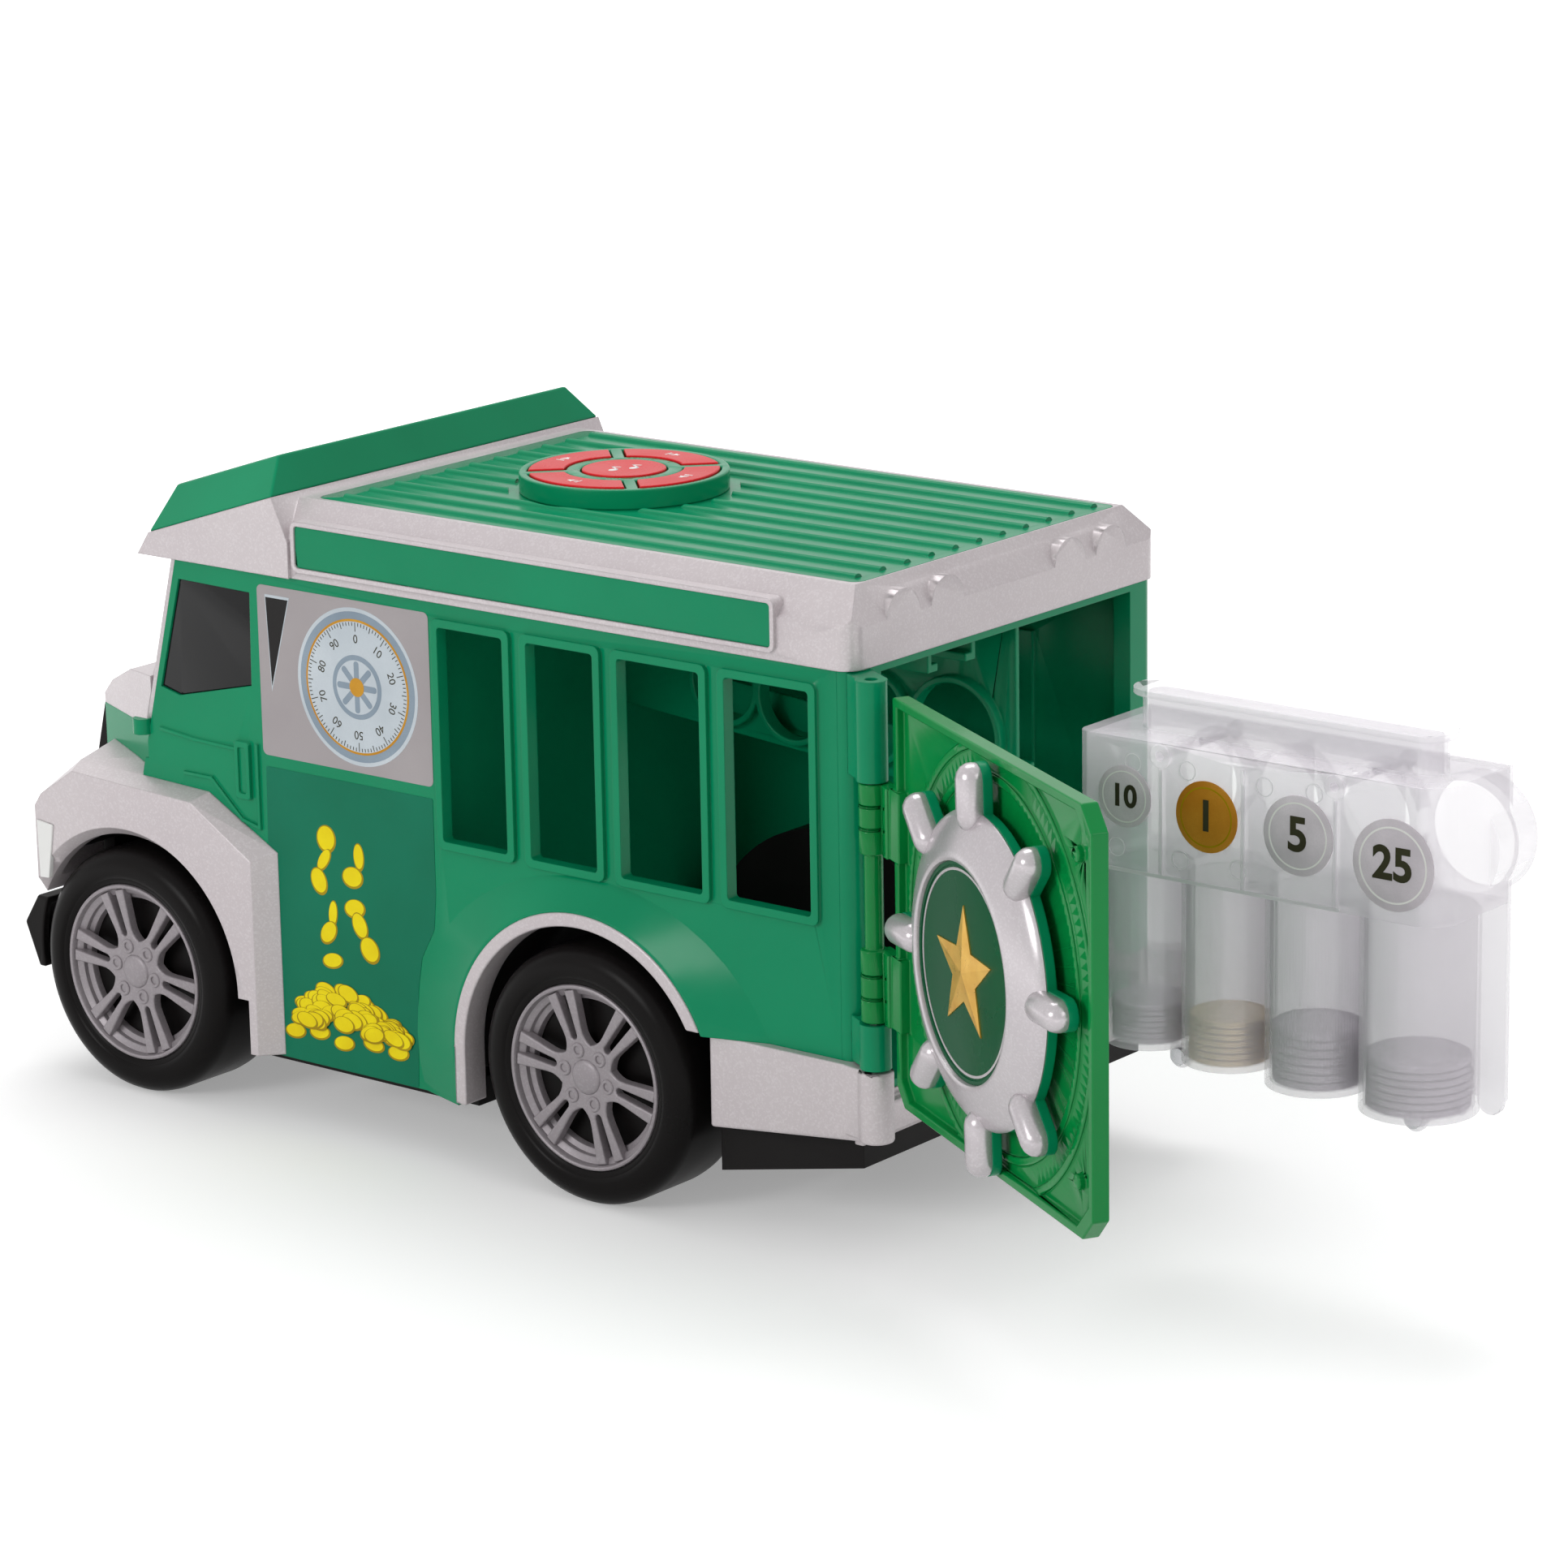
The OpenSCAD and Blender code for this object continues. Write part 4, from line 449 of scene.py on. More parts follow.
# each tyre is one moulding: a soft tread, a raised band on the outer side and a web that its axle carries
wheel = {
    "firstSpoke": 49.8, "spokes": 6, "boltCircle": 6.9, "dish": 0.035,
    "spokeBack": 4.6, "spokeDepth": 2.6, "spokeEdge": 0.55,
    "tyre": [(2, 4.5), (5, 4.5), (5, 6.5), (25.5, 6.5), (25.5, 5), (23.55, 5), (23.6, 1.1), (24.3, 0.6),
             (25.1, 0.55), (25.5, 0.2), (26.3, 0), (28.8, 0.2), (30.4, 0.8), (31.7, 1.9), (32.45, 3.4),
             (32.7, 5.2), (32.7, 21.8), (32.45, 23.6), (31.7, 25.1), (30.4, 26.2), (28.8, 26.8), (26.3, 27),
             (23.5, 27), (23.5, 23), (25.5, 23), (25.5, 8.9), (5, 8.9), (5, 25), (2, 25)],
    "rim": [(23.5, 6.5), (23.5, 1.15), (23.25, 0.75), (22.85, 0.6), (22.45, 0.75), (22.2, 1.2), (22.05, 2.3),
            (20.9, 2.9), (20.6, 3.2), (20.45, 4.3), (19.2, 4.8), (19.0, 5.2), (18.9, 6.5)],
    "halfSpoke": [(4.2, 0), (9.6, 0), (9.8, 0.55), (10.4, 0.95), (21.9, 1.45), (21.6, 4.5), (12.4, 3.05),
                  (10.6, 2.9), (9.3, 3.15), (8.2, 3.6), (7.27, 4.2), (3.64, 2.1)],
    "hub": [(0, 0.95), (1.6, 1.0), (3.1, 1.15), (3.95, 1.4), (4.4, 1.8), (4.6, 2.4), (4.6, 4), (0, 4)],
    "bolt": [(1, 2.8), (1, 1.5), (1.2, 1.3), (1.7, 1.3), (1.95, 1.55), (1.95, 2.8)],
}


def onWheel(end, side):  # z inwards from the outer face of the wheel at an end (-1 front) and side (-1 left)
    place = Matrix.Translation((end * truck["axleX"], side * truck["wheelY"], truck["axleZ"]))
    return place @ Matrix.Rotation(math.radians(90 * side), 4, "X")


def spokePlate():  # half a spoke, mirrored, turned round the hub, raised and dished
    plate = bmesh.new()
    plate.faces.new([plate.verts.new((x, y, wheel["spokeBack"])) for x, y in wheel["halfSpoke"]])
    bmesh.ops.mirror(plate, geom=plate.verts[:] + plate.edges[:] + plate.faces[:], axis="Y", merge_dist=0.001)
    around = 360 / wheel["spokes"]
    bmesh.ops.spin(plate, geom=plate.verts[:] + plate.edges[:] + plate.faces[:], cent=(0, 0, 0),
                   axis=(0, 0, 1), angle=math.radians(360 - around), steps=wheel["spokes"] - 1,
                   use_duplicate=True)
    bmesh.ops.remove_doubles(plate, verts=plate.verts, dist=0.01)
    bmesh.ops.recalc_face_normals(plate, faces=plate.faces)
    lifted = bmesh.ops.extrude_face_region(plate, geom=plate.faces[:])["geom"]
    front = {item for item in lifted if isinstance(item, bmesh.types.BMVert)}
    bmesh.ops.translate(plate, vec=(0, 0, -wheel["spokeDepth"]), verts=list(front))
    bmesh.ops.recalc_face_normals(plate, faces=plate.faces)
    rims = [edge for edge in plate.edges if front.issuperset(edge.verts) and edge.calc_face_angle(0) > 1]
    bmesh.ops.bevel(plate, geom=rims, offset=wheel["spokeEdge"], offset_type="OFFSET", segments=3,
                    profile=0.5, affect="EDGES", material=-1)
    for vert in plate.verts:
        vert.co.z -= wheel["dish"] * vert.co.xy.length
    return plate


def addWheel(endName, end, sideName, side):
    body = endName + "_wheels"
    shape = bmesh.new()
    spinProfile(shape, wheel["tyre"], steps=120)
    placeShape(shape, onWheel(end, side))
    tyreNode = "tyre_" + endName + "_" + sideName
    newPiece(pieceName(tyreNode), shape, tyreBlack, body, sharp=34, replaced=(tyreNode,))
    shape = bmesh.new()
    spinProfile(shape, wheel["rim"], steps=120)
    spinProfile(shape, wheel["hub"], steps=48, closed=False)
    first = math.radians(wheel["firstSpoke"] * side)
    joinShape(shape, spokePlate(), Matrix.Rotation(first, 4, "Z"))
    for i in range(wheel["spokes"]):
        bolt = bmesh.new()
        spinProfile(bolt, wheel["bolt"], steps=24)
        turn = Matrix.Rotation(first + i * math.tau / wheel["spokes"], 4, "Z")
        joinShape(shape, bolt, turn @ Matrix.Translation((wheel["boltCircle"], 0, 0)))
    placeShape(shape, onWheel(end, side))
    capNode = "cap_" + endName + "_" + sideName
    newPiece(pieceName(capNode), shape, wheelSilver, body, sharp=34, replaced=(capNode,),
             levelled=True)


for endName, end in (("front", -1), ("rear", 1)):
    for sideName, side in (("left", -1), ("right", 1)):
        addWheel(endName, end, sideName, side)
print("wheels made")


# the handwheel: a silver face over a green backing of the same outline, with eight knobs, a disc, a star, and
# a thin silver ring on the disc that is a painted highlight
handwheel = {
    "ring": [(0, 4.0), (24.6, 4.0), (33.8, 2.5), (36.0, 2.5), (36.15, 2.9), (35.7, 3.7), (34.4, 4.7),
             (32.0, 5.9), (29.4, 6.9), (27.4, 7.6), (26.3, 7.95), (25.6, 8.0), (25.15, 7.8), (25.0, 7.3),
             (25.0, 5.6), (0, 5.6)],
    "knob": [(0, 31.4), (1.4, 31.7), (2.6, 32.5), (3.4, 33.7), (3.7, 35.1), (3.7, 43.6), (3.4, 45),
             (2.6, 46.2), (1.4, 46.95), (0, 47.2)],
    "knobs": 8, "firstKnob": 92.5, "knobHeight": 3.75, "split": 2.6,
    "backR": 36.15, "backing": (0.35, 2.6), "foot": (32, -3.75, 47.2, 3.75), "footRounding": 3.7,
    # line: the profile of a thin silver ring on the disc, a painted highlight near the disc's edge
    "line": [(22.9, 6.55), (23.5, 6.55), (23.5, 6.75), (22.9, 6.75)],
    "star": {"radius": 15.5, "waist": 0.42, "thick": 0.3, "ridge": 0.6, "lift": 6.6},
}


def addHandwheel():
    face = bmesh.new()
    spinProfile(face, handwheel["ring"], steps=96, closed=False)
    back = bmesh.new()
    addDisc(back, handwheel["backR"], *handwheel["backing"], segments=96)
    lying = Matrix.Translation((0, 0, handwheel["knobHeight"])) @ Matrix.Rotation(math.radians(90), 4, "Y")
    for i in range(handwheel["knobs"]):
        turn = Matrix.Rotation(math.radians(handwheel["firstKnob"] + i * 360 / handwheel["knobs"]), 4, "Z")
        knob = bmesh.new()
        spinProfile(knob, handwheel["knob"], steps=28, closed=False)
        placeShape(knob, lying)
        split = bmesh.ops.bisect_plane(knob, geom=knob.verts[:] + knob.edges[:] + knob.faces[:],
                                       plane_co=(0, 0, handwheel["split"]), plane_no=(0, 0, -1),
                                       clear_outer=True)
        rim = [item for item in split["geom_cut"] if isinstance(item, bmesh.types.BMEdge)]
        bmesh.ops.edgeloop_fill(knob, edges=rim)
        joinShape(face, knob, turn)
        foot = bmesh.new()
        addPlate(foot, rectangle(*handwheel["foot"]), *handwheel["backing"], handwheel["footRounding"])
        joinShape(back, foot, turn)
    placeShape(face, onHandwheel)
    placeShape(back, onHandwheel)
    for name, shape, material, slotName in (("handwheelFace", face, handwheelSilver, "silver_plastic"),
                                            ("handwheelBacking", back, greenShell, "green_plastic")):
        newPiece(name, shape, material, "handwheel", sharp=40, replaced=("handwheel",))
    roundedNode("handwheel_disc", greenDisc, 0.15)
    addStar(handwheel["star"])
    # a painted highlight: a thin silver ring on the disc, near its edge
    line = bmesh.new()
    spinProfile(line, handwheel["line"], steps=96)
    placeShape(line, onHandwheel)
    newPiece("handwheelLine", line, handwheelSilver, "handwheel")


def addStar(star):  # every other corner of a decagon drawn in, and its face raised to a point
    shape = bmesh.new()
    tips = bmesh.ops.create_circle(shape, cap_ends=True, segments=10, radius=star["radius"])["verts"]
    bmesh.ops.scale(shape, vec=(star["waist"], star["waist"], 1), verts=tips[1::2])
    bmesh.ops.poke(shape, faces=[raiseFace(shape, shape.faces[:][0], star["thick"])], offset=star["ridge"])
    upright = Matrix.Translation((0, 0, star["lift"])) @ Matrix.Rotation(math.radians(90), 4, "Z")
    placeShape(shape, onHandwheel @ upright)
    newPiece("handwheelStar", shape, starGold, "handwheel", sharp=10)


addHandwheel()
print("handwheel made")


# stacks of separate coins that fill the boxes of the CAD stacks
coins = {
    "count": 7, "shift": 0.12, "seed": 4,
    # in parts of the coin's radius and thickness
    "profile": [(0, 0.14), (0.86, 0.14), (0.89, 0.02), (0.965, 0.02), (1, 0.16), (1, 0.84), (0.965, 0.98),
                (0.89, 0.98), (0.86, 0.86), (0, 0.86)],
    "stacks": {"coins_ten": nickelCoin, "coins_one": copperCoin, "coins_five": nickelCoin,
               "coins_quarter": nickelCoin},
}


def addStack(nodeName, material, chance):
    low, high = (Vector(corner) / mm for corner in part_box(nodeName))
    middle = (low + high) / 2
    radius = (high.x - low.x) / 2 - coins["shift"]
    thick = (high.z - low.z) / coins["count"]
    shape = bmesh.new()
    for i in range(coins["count"]):
        coin = bmesh.new()
        profile = [(across * radius, up * thick) for across, up in coins["profile"]]
        spinProfile(coin, profile, steps=56, closed=False)
        away = chance.uniform(0, math.tau)
        x = middle.x + coins["shift"] * math.cos(away)
        y = middle.y + coins["shift"] * math.sin(away)
        joinShape(shape, coin, Matrix.Translation((x, y, low.z + i * thick)))
    newPiece(pieceName(nodeName), shape, material, "cartridge", sharp=24, replaced=(nodeName,))


chance = random.Random(coins["seed"])
for nodeName, material in coins["stacks"].items():
    addStack(nodeName, material, chance)
print("coins stacked")


# the front of the cartridge: domed labels with plain numbers, round marks of the mould's ejector pins, and
# milky seams where the cell walls and the floor of the box meet the front
sorter = {
    "frontY": -28.75,
    "labels": [("10", 212.4, 116.5, 7.3, labelSilver), ("1", 235.1, 115.1, 8.4, labelGold),
               ("5", 259.9, 114.6, 9.3, labelSilver), ("25", 285.1, 111.8, 10.6, labelSilver)],
    # across in parts of the label's radius, up in millimetres
    "dome": [(0, 0), (1, 0), (1, 0.2), (0.94, 0.34), (0.6, 0.44), (0, 0.48)],
    "line": [(0.8, 0.3), (0.84, 0.3), (0.84, 0.42), (0.8, 0.42)],
    "digits": {"low": 0.3, "high": 0.54, "weight": 0.03, "one": 1.2, "two": 1.0},
    "pins": [(214.7, 124.8), (210.1, 104.2), (229.7, 125.1), (227.7, 103.7), (250.7, 124.5), (243.6, 104),
             (264, 125)],
    "pinMark": [(2.05, -0.05), (2.3, -0.05), (2.3, 0.1), (2.05, 0.1)],
    "walls": [222.37, 244.92, 269.62], "wallHalf": 0.4, "wallZ": (98.6, 124), "wallHigh": 0.12,
    "floor": (199.1, 98.5, 271, 99.4), "floorHigh": 0.14, "seamLow": 0.02, "seamRounding": 0.2,
}
onSorter = Matrix.Translation((0, sorter["frontY"], 0)) @ Matrix.Rotation(math.radians(90), 4, "X")


def addLabel(number, x, z, radius, material):
    place = onSorter @ Matrix.Translation((x, z, 0))
    disc = bmesh.new()
    spinProfile(disc, [(across * radius, up) for across, up in sorter["dome"]], steps=56, closed=False)
    placeShape(disc, place)
    newPiece("label" + number, disc, material, "cartridge", sharp=30)
    line = bmesh.new()
    spinProfile(line, [(across * radius, up) for across, up in sorter["line"]], steps=56)
    placeShape(line, place)
    film = filmWhite if material is labelSilver else filmOlive
    newPiece("labelLine" + number, line, film, "cartridge")
    digits = sorter["digits"]
    size = radius * digits["two" if len(number) > 1 else "one"]
    shape = bmesh.new()
    addWords(shape, number, size, digits["low"], digits["high"], weight=digits["weight"] * radius)
    placeShape(shape, place)
    newPiece("labelNumber" + number, shape, filmInk, "cartridge", closed=False)


def addEjectorMarks():
    shape = bmesh.new()
    for x, z in sorter["pins"]:
        mark = bmesh.new()
        spinProfile(mark, sorter["pinMark"], steps=36)
        joinShape(shape, mark, Matrix.Translation((x, z, 0)))
    placeShape(shape, onSorter)
    newPiece("ejectorMarks", shape, clearRim, "cartridge")


def addSeams():
    shape = bmesh.new()
    half = sorter["wallHalf"]
    low, high = sorter["wallZ"]
    seams = [(rectangle(x - half, low, x + half, high), sorter["wallHigh"]) for x in sorter["walls"]]
    seams.append((rectangle(*sorter["floor"]), sorter["floorHigh"]))
    for corners, lift in seams:
        addPlate(shape, corners, sorter["seamLow"], lift, sorter["seamRounding"])
    placeShape(shape, onSorter)
    newPiece("cellSeams", shape, clearRim, "cartridge")


for label in sorter["labels"]:
    addLabel(*label)
addEjectorMarks()
addSeams()
print("cartridge labelled")


# stickers on both side walls: a grey panel with a wedge and a safe dial, and a green one with a heap of coins
sideArt = {
    "film": (-0.05, 0.1), "thin": 0.04, "panel": (-31, 97.2, 26.7, 141.3), "panelRounding": 1.6,
    "wedge": [(-28.3, 139), (-19.9, 139), (-27, 114)], "wedgeMiddle": (-25.3, 131),
    "wedgeLayers": [("Edge", filmPale, 1, 0.1), ("Wedge", filmBlack, 0.91, 0.14)],
    "green": [(-31.9, 17.9), (18.3, 17.9), (19.4, 44), (21, 52.5), (25.4, 60.4), (26.3, 70), (26.3, 94.2),
              (-30.2, 94.2)],
    "greenRounding": 0.6,
}
dial = {
    "at": (2.4, 119.2), "ink": 0.03,
    "layers": [("Rim", filmPale, 20.2, 0.1), ("Band", filmBlue, 19.2, 0.14), ("Gold", filmGold, 17.3, 0.18),
               ("Plate", filmPale, 16.7, 0.22), ("Well", filmBlue, 8.2, 0.26), ("Hub", filmPale, 6.9, 0.3),
               ("Boss", filmGold, 2.4, 0.38)],
    "ticks": 100, "tickHalf": 0.11, "tickIn": {"ten": 14.2, "five": 15.0, "one": 15.6}, "tickOut": 16.5,
    "numbers": 10, "numberSize": 3.1, "numberAt": (0, 12.2), "marksLift": 0.26,
    "bars": 4, "bar": (-0.8, -6.6, 0.8, 6.6), "barRounding": 0.7, "barStep": 0.005, "gripLift": 0.34,
}
coinArt = {
    "seed": 11, "radius": 3.7, "facets": 28, "lift": 0.1, "step": 0.006,
    "edge": 0.01, "face": (0.011, 0.015), "faceSize": 0.86, "faceShift": (-0.12, 0.2),
    "falling": {"count": 11, "top": 78, "drop": 31, "x": -5, "away": 5.6},
    "row": {"count": 5, "x": -24, "step": 9.2, "z": 25.6, "stretch": 0.55},
    "heap": {"count": 70, "left": -22, "right": 14, "x": -5, "half": 21, "z": 29, "high": 12.5, "slope": 1.4},
}


def onDial(side, lift):
    x, z = dial["at"]
    turn = Matrix.Rotation(math.radians(90), 4, "X")
    if side > 0:
        turn = Matrix.Rotation(math.radians(180), 4, "Z") @ turn
    return Matrix.Translation((x, side * (truck["sideY"] + lift), z)) @ turn


def addDial(sideName, side):
    for name, material, radius, lift in dial["layers"]:
        disc = bmesh.new()
        addDisc(disc, radius, 0, sideArt["thin"], segments=72)
        placeShape(disc, onDial(side, lift))
        newPiece("dial" + name + sideName, disc, material, "truck")
    marks = bmesh.new()
    for i in range(dial["ticks"]):
        tick = bmesh.new()
        inner = dial["tickIn"]["ten" if i % 10 == 0 else "five" if i % 5 == 0 else "one"]
        addPlate(tick, rectangle(-dial["tickHalf"], inner, dial["tickHalf"], dial["tickOut"]), 0, dial["ink"])
        joinShape(marks, tick, Matrix.Rotation(-i * math.tau / dial["ticks"], 4, "Z"))
    for i in range(dial["numbers"]):
        number = bmesh.new()
        addWords(number, str(i * 10), dial["numberSize"], 0, dial["ink"], at=dial["numberAt"])
        joinShape(marks, number, Matrix.Rotation(-i * math.tau / dial["numbers"], 4, "Z"))
    placeShape(marks, onDial(side, dial["marksLift"]))
    newPiece("dialMarks" + sideName, marks, filmInk, "truck", closed=False)
    grip = bmesh.new()
    for i in range(dial["bars"]):  # bars cross the hub, each a hair above the last
        bar = bmesh.new()
        addPlate(bar, rectangle(*dial["bar"]), 0, sideArt["thin"], dial["barRounding"])
        turn = Matrix.Rotation(math.radians(180 / dial["bars"] * i), 4, "Z")
        joinShape(grip, bar, turn @ Matrix.Translation((0, 0, dial["barStep"] * i)))
    placeShape(grip, onDial(side, dial["gripLift"]))
    newPiece("dialGrip" + sideName, grip, filmBlue, "truck")


def fallingSpots(chance):  # spots are (x, z, stretch, turn); the lowest coin comes last
    falling, spots = coinArt["falling"], []
    for i in range(falling["count"]):
        z = falling["top"] - falling["drop"] * i / (falling["count"] - 1)
        x = falling["x"] + (falling["away"] if i % 2 else -falling["away"]) * chance.uniform(0.5, 1.5)
        z += chance.uniform(-1.2, 1.2)
        spots.append((x, z, chance.uniform(0.4, 0.95), chance.uniform(0, math.pi)))
    return spots


def rowSpots(chance):  # single coins along the foot of the heap
    row, spots = coinArt["row"], []
    for i in range(row["count"]):
        x = row["x"] + row["step"] * i + chance.uniform(-1, 1)
        z = row["z"] + chance.uniform(-1, 1)
        spots.append((x, z, row["stretch"], chance.uniform(-0.2, 0.2)))
    return spots


def heapSpots(chance):  # high coins first, so that low ones lie over them
    heap, spots = coinArt["heap"], []
    for i in range(heap["count"]):
        x = chance.uniform(heap["left"], heap["right"])
        reach = heap["high"] * (1 - (abs(x - heap["x"]) / heap["half"]) ** heap["slope"])
        z = heap["z"] + reach * (1 - i / heap["count"]) * chance.uniform(0.75, 1)
        spots.append((x, z, chance.uniform(0.48, 0.66), chance.uniform(-0.35, 0.35)))
    return spots


def addCoinPicture(sideName, side):
    chance = random.Random(coinArt["seed"])
    spots = fallingSpots(chance) + rowSpots(chance) + heapSpots(chance)
    edges, faces = bmesh.new(), bmesh.new()
    radius, facets = coinArt["radius"], coinArt["facets"]
    low, high = coinArt["face"]
    shiftX, shiftZ = coinArt["faceShift"]
    for i, (x, z, stretch, turn) in enumerate(spots):  # each coin lies a hair above the last
        lift = coinArt["lift"] + coinArt["step"] * i
        addDisc(edges, radius, lift, lift + coinArt["edge"], (x, z), stretch, turn, facets)
        addDisc(faces, radius * coinArt["faceSize"], lift + low, lift + high, (x + shiftX, z + shiftZ),
                stretch, turn, facets)
    placeShape(edges, onSide(side))
    placeShape(faces, onSide(side))
    newPiece("coinEdges" + sideName, edges, filmOlive, "truck")
    newPiece("coinFaces" + sideName, faces, filmYellow, "truck")


def addStickers(sideName, side):
    panel = bmesh.new()
    addPlate(panel, rectangle(*sideArt["panel"]), *sideArt["film"], sideArt["panelRounding"])
    placeShape(panel, onSide(side))
    newPiece("sidePanel" + sideName, panel, filmSilver, "truck")
    middle = Vector(sideArt["wedgeMiddle"])
    for name, material, share, lift in sideArt["wedgeLayers"]:
        wedge = bmesh.new()
        corners = [middle + (Vector(corner) - middle) * share for corner in sideArt["wedge"]]
        addPlate(wedge, corners, 0, sideArt["thin"])
        placeShape(wedge, onSide(side, lift))
        newPiece("side" + name + sideName, wedge, material, "truck")
    green = bmesh.new()
    addPlate(green, sideArt["green"], *sideArt["film"], sideArt["greenRounding"])
    placeShape(green, onSide(side))
    newPiece("coinPanel" + sideName, green, filmGreen, "truck")
    addDial(sideName, side)
    addCoinPicture(sideName, side)


addStickers("Left", -1)
addStickers("Right", 1)
print("stickers placed")


# white marks printed on the red buttons
buttonArt = {
    "baseZ": 168.66, "thick": 0.1, "ringR": 19.5,
    "around": [("button_front", 180), ("button_rear", 0), ("button_left", 270), ("button_right", 90)],
    "noteSize": 1.5, "notesX": (-2.6, 2.9), "notesTurn": 60,
    # head, stem and flag in parts of the note's size
    "head": {"radius": 0.9, "at": (-0.6, -1.1), "stretch": 0.75, "turn": 0.4},
    "stem": [(0, -1.1), (0.35, -1.1), (0.35, 1.5), (0, 1.5)],
    "flag": [(0, 1.5), (0.3, 1.5), (1.5, 0.5), (1.1, 0.3)],
    "horn": [(-1.6, -0.5), (-0.9, -0.5), (0, -1.3), (0, 1.3), (-0.9, 0.5), (-1.6, 0.5)],
    "waves": [(0.7, 0.8), (1.6, 1.3)], "waveWide": 0.4, "waveRounding": 0.15,
}


def addNote(shape, x, size):
    head = buttonArt["head"]
    note = bmesh.new()
    at = [along * size for along in head["at"]]
    addDisc(note, head["radius"] * size, 0, buttonArt["thick"], at, head["stretch"], head["turn"], 24)
    for outline in ("stem", "flag"):
        corners = [(across * size, up * size) for across, up in buttonArt[outline]]
        addPlate(note, corners, 0, buttonArt["thick"])
    joinShape(shape, note, Matrix.Translation((x, 0, 0)))


def addHorn(shape):  # a small horn with two strokes, for a sound
    addPlate(shape, buttonArt["horn"], 0, buttonArt["thick"])
    for x, half in buttonArt["waves"]:
        wave = rectangle(x, -half, x + buttonArt["waveWide"], half)
        addPlate(shape, wave, 0, buttonArt["thick"], buttonArt["waveRounding"])


def addButtonMarks():
    onButtons = Matrix.Translation((truck["buttonsX"], 0, buttonArt["baseZ"]))
    shape = bmesh.new()
    for x in buttonArt["notesX"]:
        addNote(shape, x, buttonArt["noteSize"])
    placeShape(shape, onButtons @ Matrix.Rotation(math.radians(buttonArt["notesTurn"]), 4, "Z"))
    newPiece("markCentre", shape, filmWhite, "button_centre")
    for body, angle in buttonArt["around"]:
        shape = bmesh.new()
        addHorn(shape)
        spot = Matrix.Rotation(math.radians(angle), 4, "Z") @ Matrix.Translation((buttonArt["ringR"], 0, 0))
        placeShape(shape, onButtons @ spot @ Matrix.Rotation(math.radians(90), 4, "Z"))
        newPiece("mark" + body.split("_")[1].capitalize(), shape, filmWhite, body)


addButtonMarks()
print("buttons marked")


# the camera fitted to the photograph, in metres and radians
camera = {
    "lens": 127.41, "sensor": 36, "clip": (0.05, 50), "place": (0.922085, -1.03581, 0.446249),
    "yaw": 0.677358, "pitch": 0.25874, "roll": -0.0173936,
}


def addCamera():
    yaw, pitch, roll = camera["yaw"], camera["pitch"], camera["roll"]
    ahead = Vector((-math.sin(yaw) * math.cos(pitch), math.cos(yaw) * math.cos(pitch), -math.sin(pitch)))
    side = Vector((math.cos(yaw), math.sin(yaw), 0))
    up = side.cross(ahead)
    right = side * math.cos(roll) + up * math.sin(roll)
    top = up * math.cos(roll) - side * math.sin(roll)
    turn = Matrix((right, top, -ahead)).transposed().to_4x4()
    lens = bpy.data.cameras.new("camera")
    lens.lens = camera["lens"]
    lens.sensor_width = camera["sensor"]
    lens.clip_start, lens.clip_end = camera["clip"]
    viewer = bpy.data.objects.new("camera", lens)
    viewer.matrix_world = Matrix.Translation(camera["place"]) @ turn
    scene.collection.objects.link(viewer)
    scene.camera = viewer


addCamera()
print("camera placed")


# a white studio, in metres: the floor glows more the farther it is, and meets the white world without an edge
studio = {
    "ambient": 0.55, "white": (1, 1, 1, 1), "floor": 6.0, "floorTone": (0.8, 0.8, 0.8, 1), "floorGloss": 0.9,
    "near": 0.2, "far": 0.6, "nearGlow": 0.3, "farGlow": 0.8,
}
lamps = [
    {"name": "top", "at": (-0.5, 0.5, 1.9), "to": (0.05, 0, 0.1), "size": (1.3, 0.9), "power": 17},
    {"name": "left", "at": (-0.3, -1.8, 0.8), "to": (0.05, 0, 0.1), "size": (0.7, 0.5), "power": 10},
    {"name": "rear", "at": (1.9, -0.3, 1.0), "to": (0.1, 0, 0.1), "size": (0.8, 0.8), "power": 3.5},
]


def seenRays(tree):  # 1 for rays that show a background, 0 for rays that carry light
    rays = tree.nodes.new("ShaderNodeLightPath")
    total = rays.outputs["Is Camera Ray"]
    for kind in ("Is Glossy Ray", "Is Transmission Ray"):
        both = tree.nodes.new("ShaderNodeMath")
        both.operation = "MAXIMUM"
        tree.links.new(total, both.inputs[0])
        tree.links.new(rays.outputs[kind], both.inputs[1])
        total = both.outputs[0]
    return total


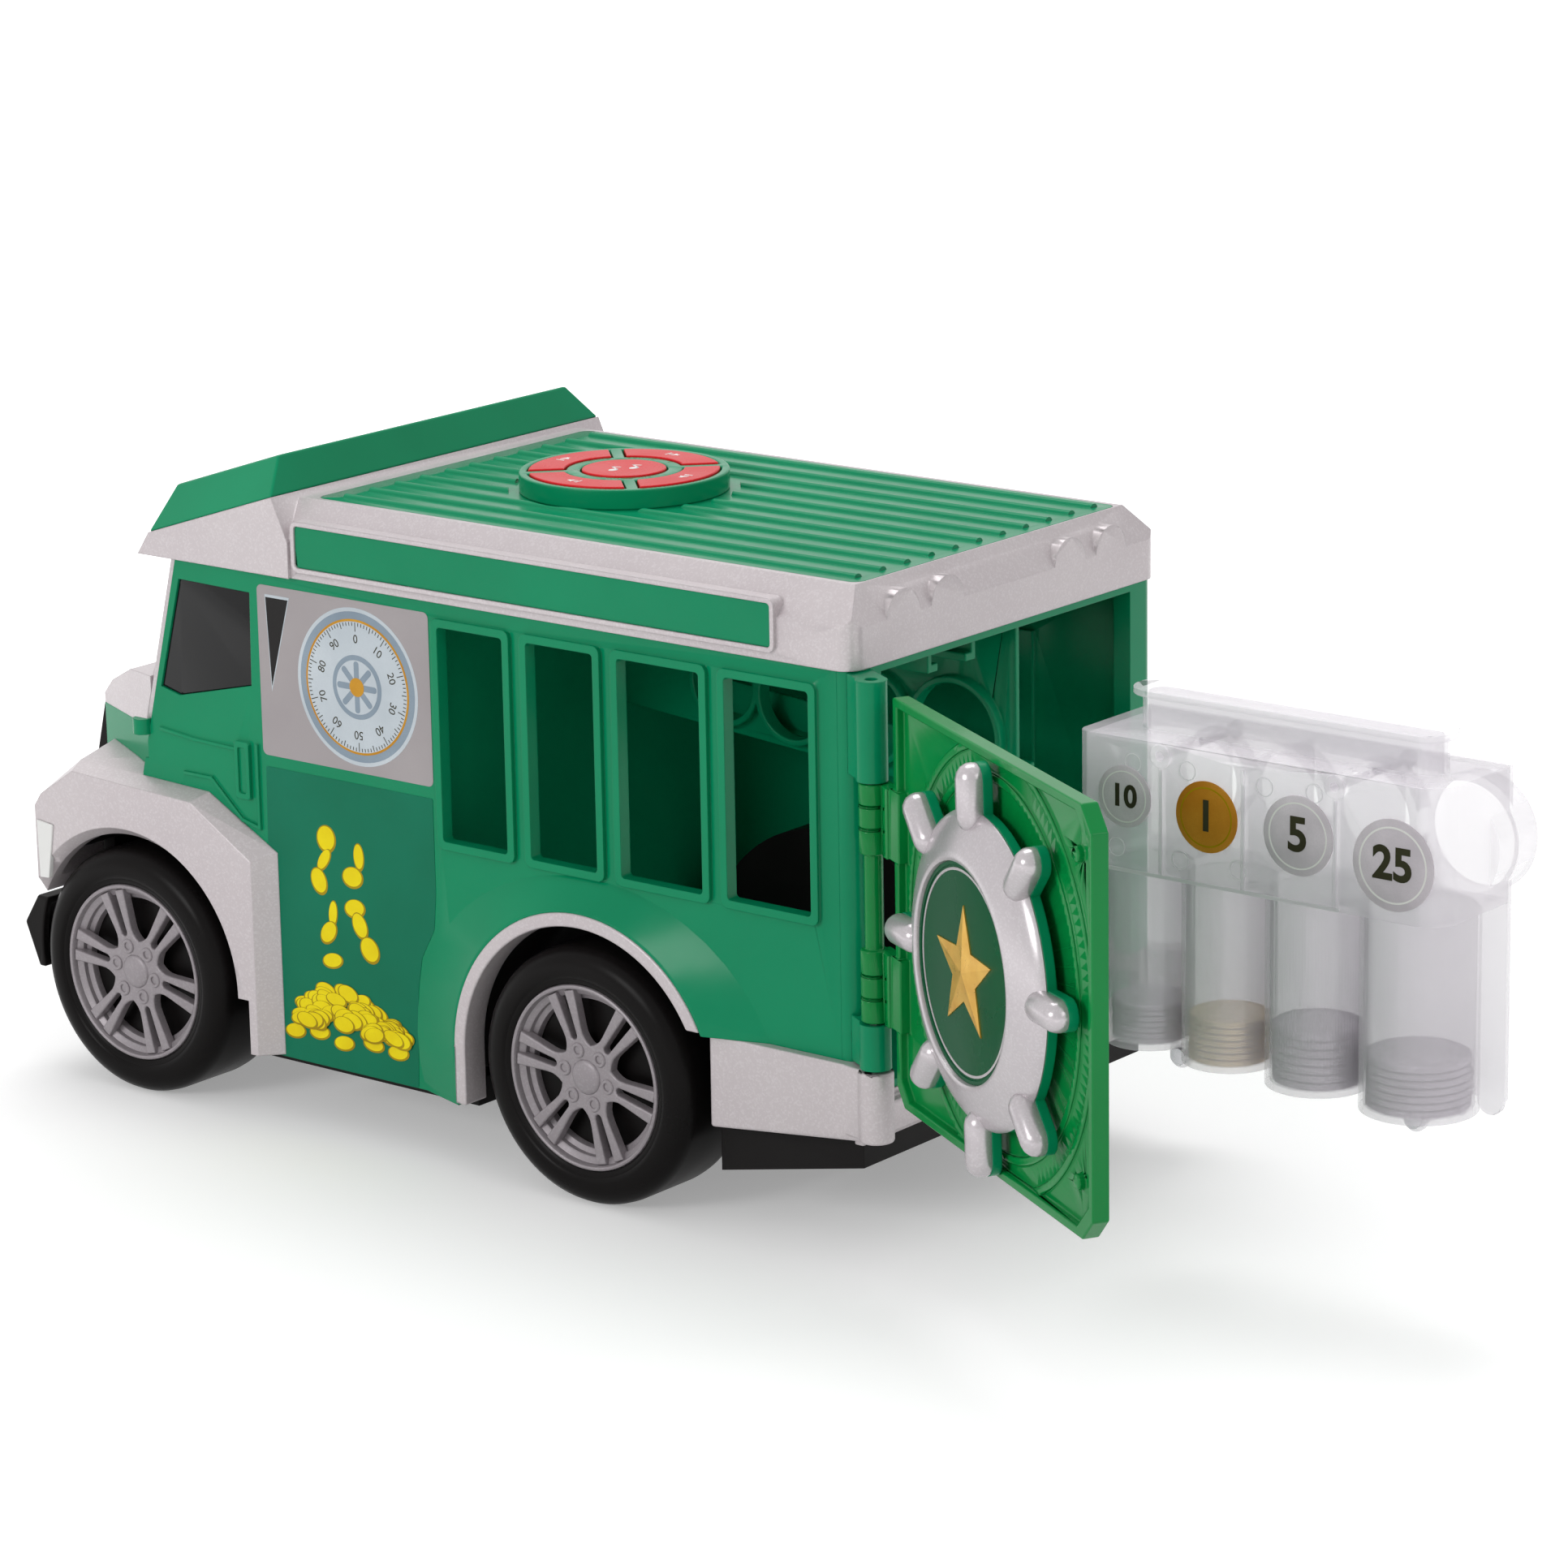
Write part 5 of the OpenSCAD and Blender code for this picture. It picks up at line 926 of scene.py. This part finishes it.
def addWorld():
    world = bpy.data.worlds.new("studio")
    scene.world = world
    world.use_nodes = True
    tree = world.node_tree
    light = tree.nodes["Background"]
    light.inputs["Strength"].default_value = studio["ambient"]
    light.inputs["Color"].default_value = studio["white"]
    seen = tree.nodes.new("ShaderNodeBackground")
    seen.inputs["Color"].default_value = studio["white"]
    mix = tree.nodes.new("ShaderNodeMixShader")
    tree.links.new(seenRays(tree), mix.inputs[0])
    tree.links.new(light.outputs[0], mix.inputs[1])
    tree.links.new(seen.outputs[0], mix.inputs[2])
    tree.links.new(mix.outputs[0], tree.nodes["World Output"].inputs["Surface"])


def addFloor():
    shape = bmesh.new()
    bmesh.ops.create_grid(shape, x_segments=1, y_segments=1, size=studio["floor"])
    mesh = bpy.data.meshes.new("floor")
    shape.to_mesh(mesh)
    shape.free()
    floor = bpy.data.objects.new("floor", mesh)
    scene.collection.objects.link(floor)
    material, tree, shader, place = startMaterial("floor", {
        "Base Color": studio["floorTone"], "Roughness": studio["floorGloss"], "Specular IOR Level": 0.0,
        "Emission Color": studio["white"]})
    away = tree.nodes.new("ShaderNodeVectorMath")
    away.operation = "LENGTH"
    tree.links.new(place, away.inputs[0])
    glow = spreadTo(tree, away.outputs["Value"], studio["nearGlow"], studio["farGlow"],
                    start=studio["near"], end=studio["far"])
    lift = tree.nodes.new("ShaderNodeMath")
    lift.operation = "MULTIPLY"
    tree.links.new(seenRays(tree), lift.inputs[0])
    tree.links.new(glow, lift.inputs[1])
    tree.links.new(lift.outputs[0], shader.inputs["Emission Strength"])
    mesh.materials.append(material)


def addLamp(lamp):
    light = bpy.data.lights.new(lamp["name"], "AREA")
    light.shape = "RECTANGLE"
    light.size, light.size_y = lamp["size"]
    light.energy = lamp["power"]
    holder = bpy.data.objects.new(lamp["name"], light)
    holder.location = lamp["at"]
    holder.rotation_euler = (Vector(lamp["to"]) - Vector(lamp["at"])).to_track_quat("-Z", "Y").to_euler()
    scene.collection.objects.link(holder)


addWorld()
addFloor()
for lamp in lamps:
    addLamp(lamp)
scene.view_settings.view_transform = "Standard"
print("studio set")
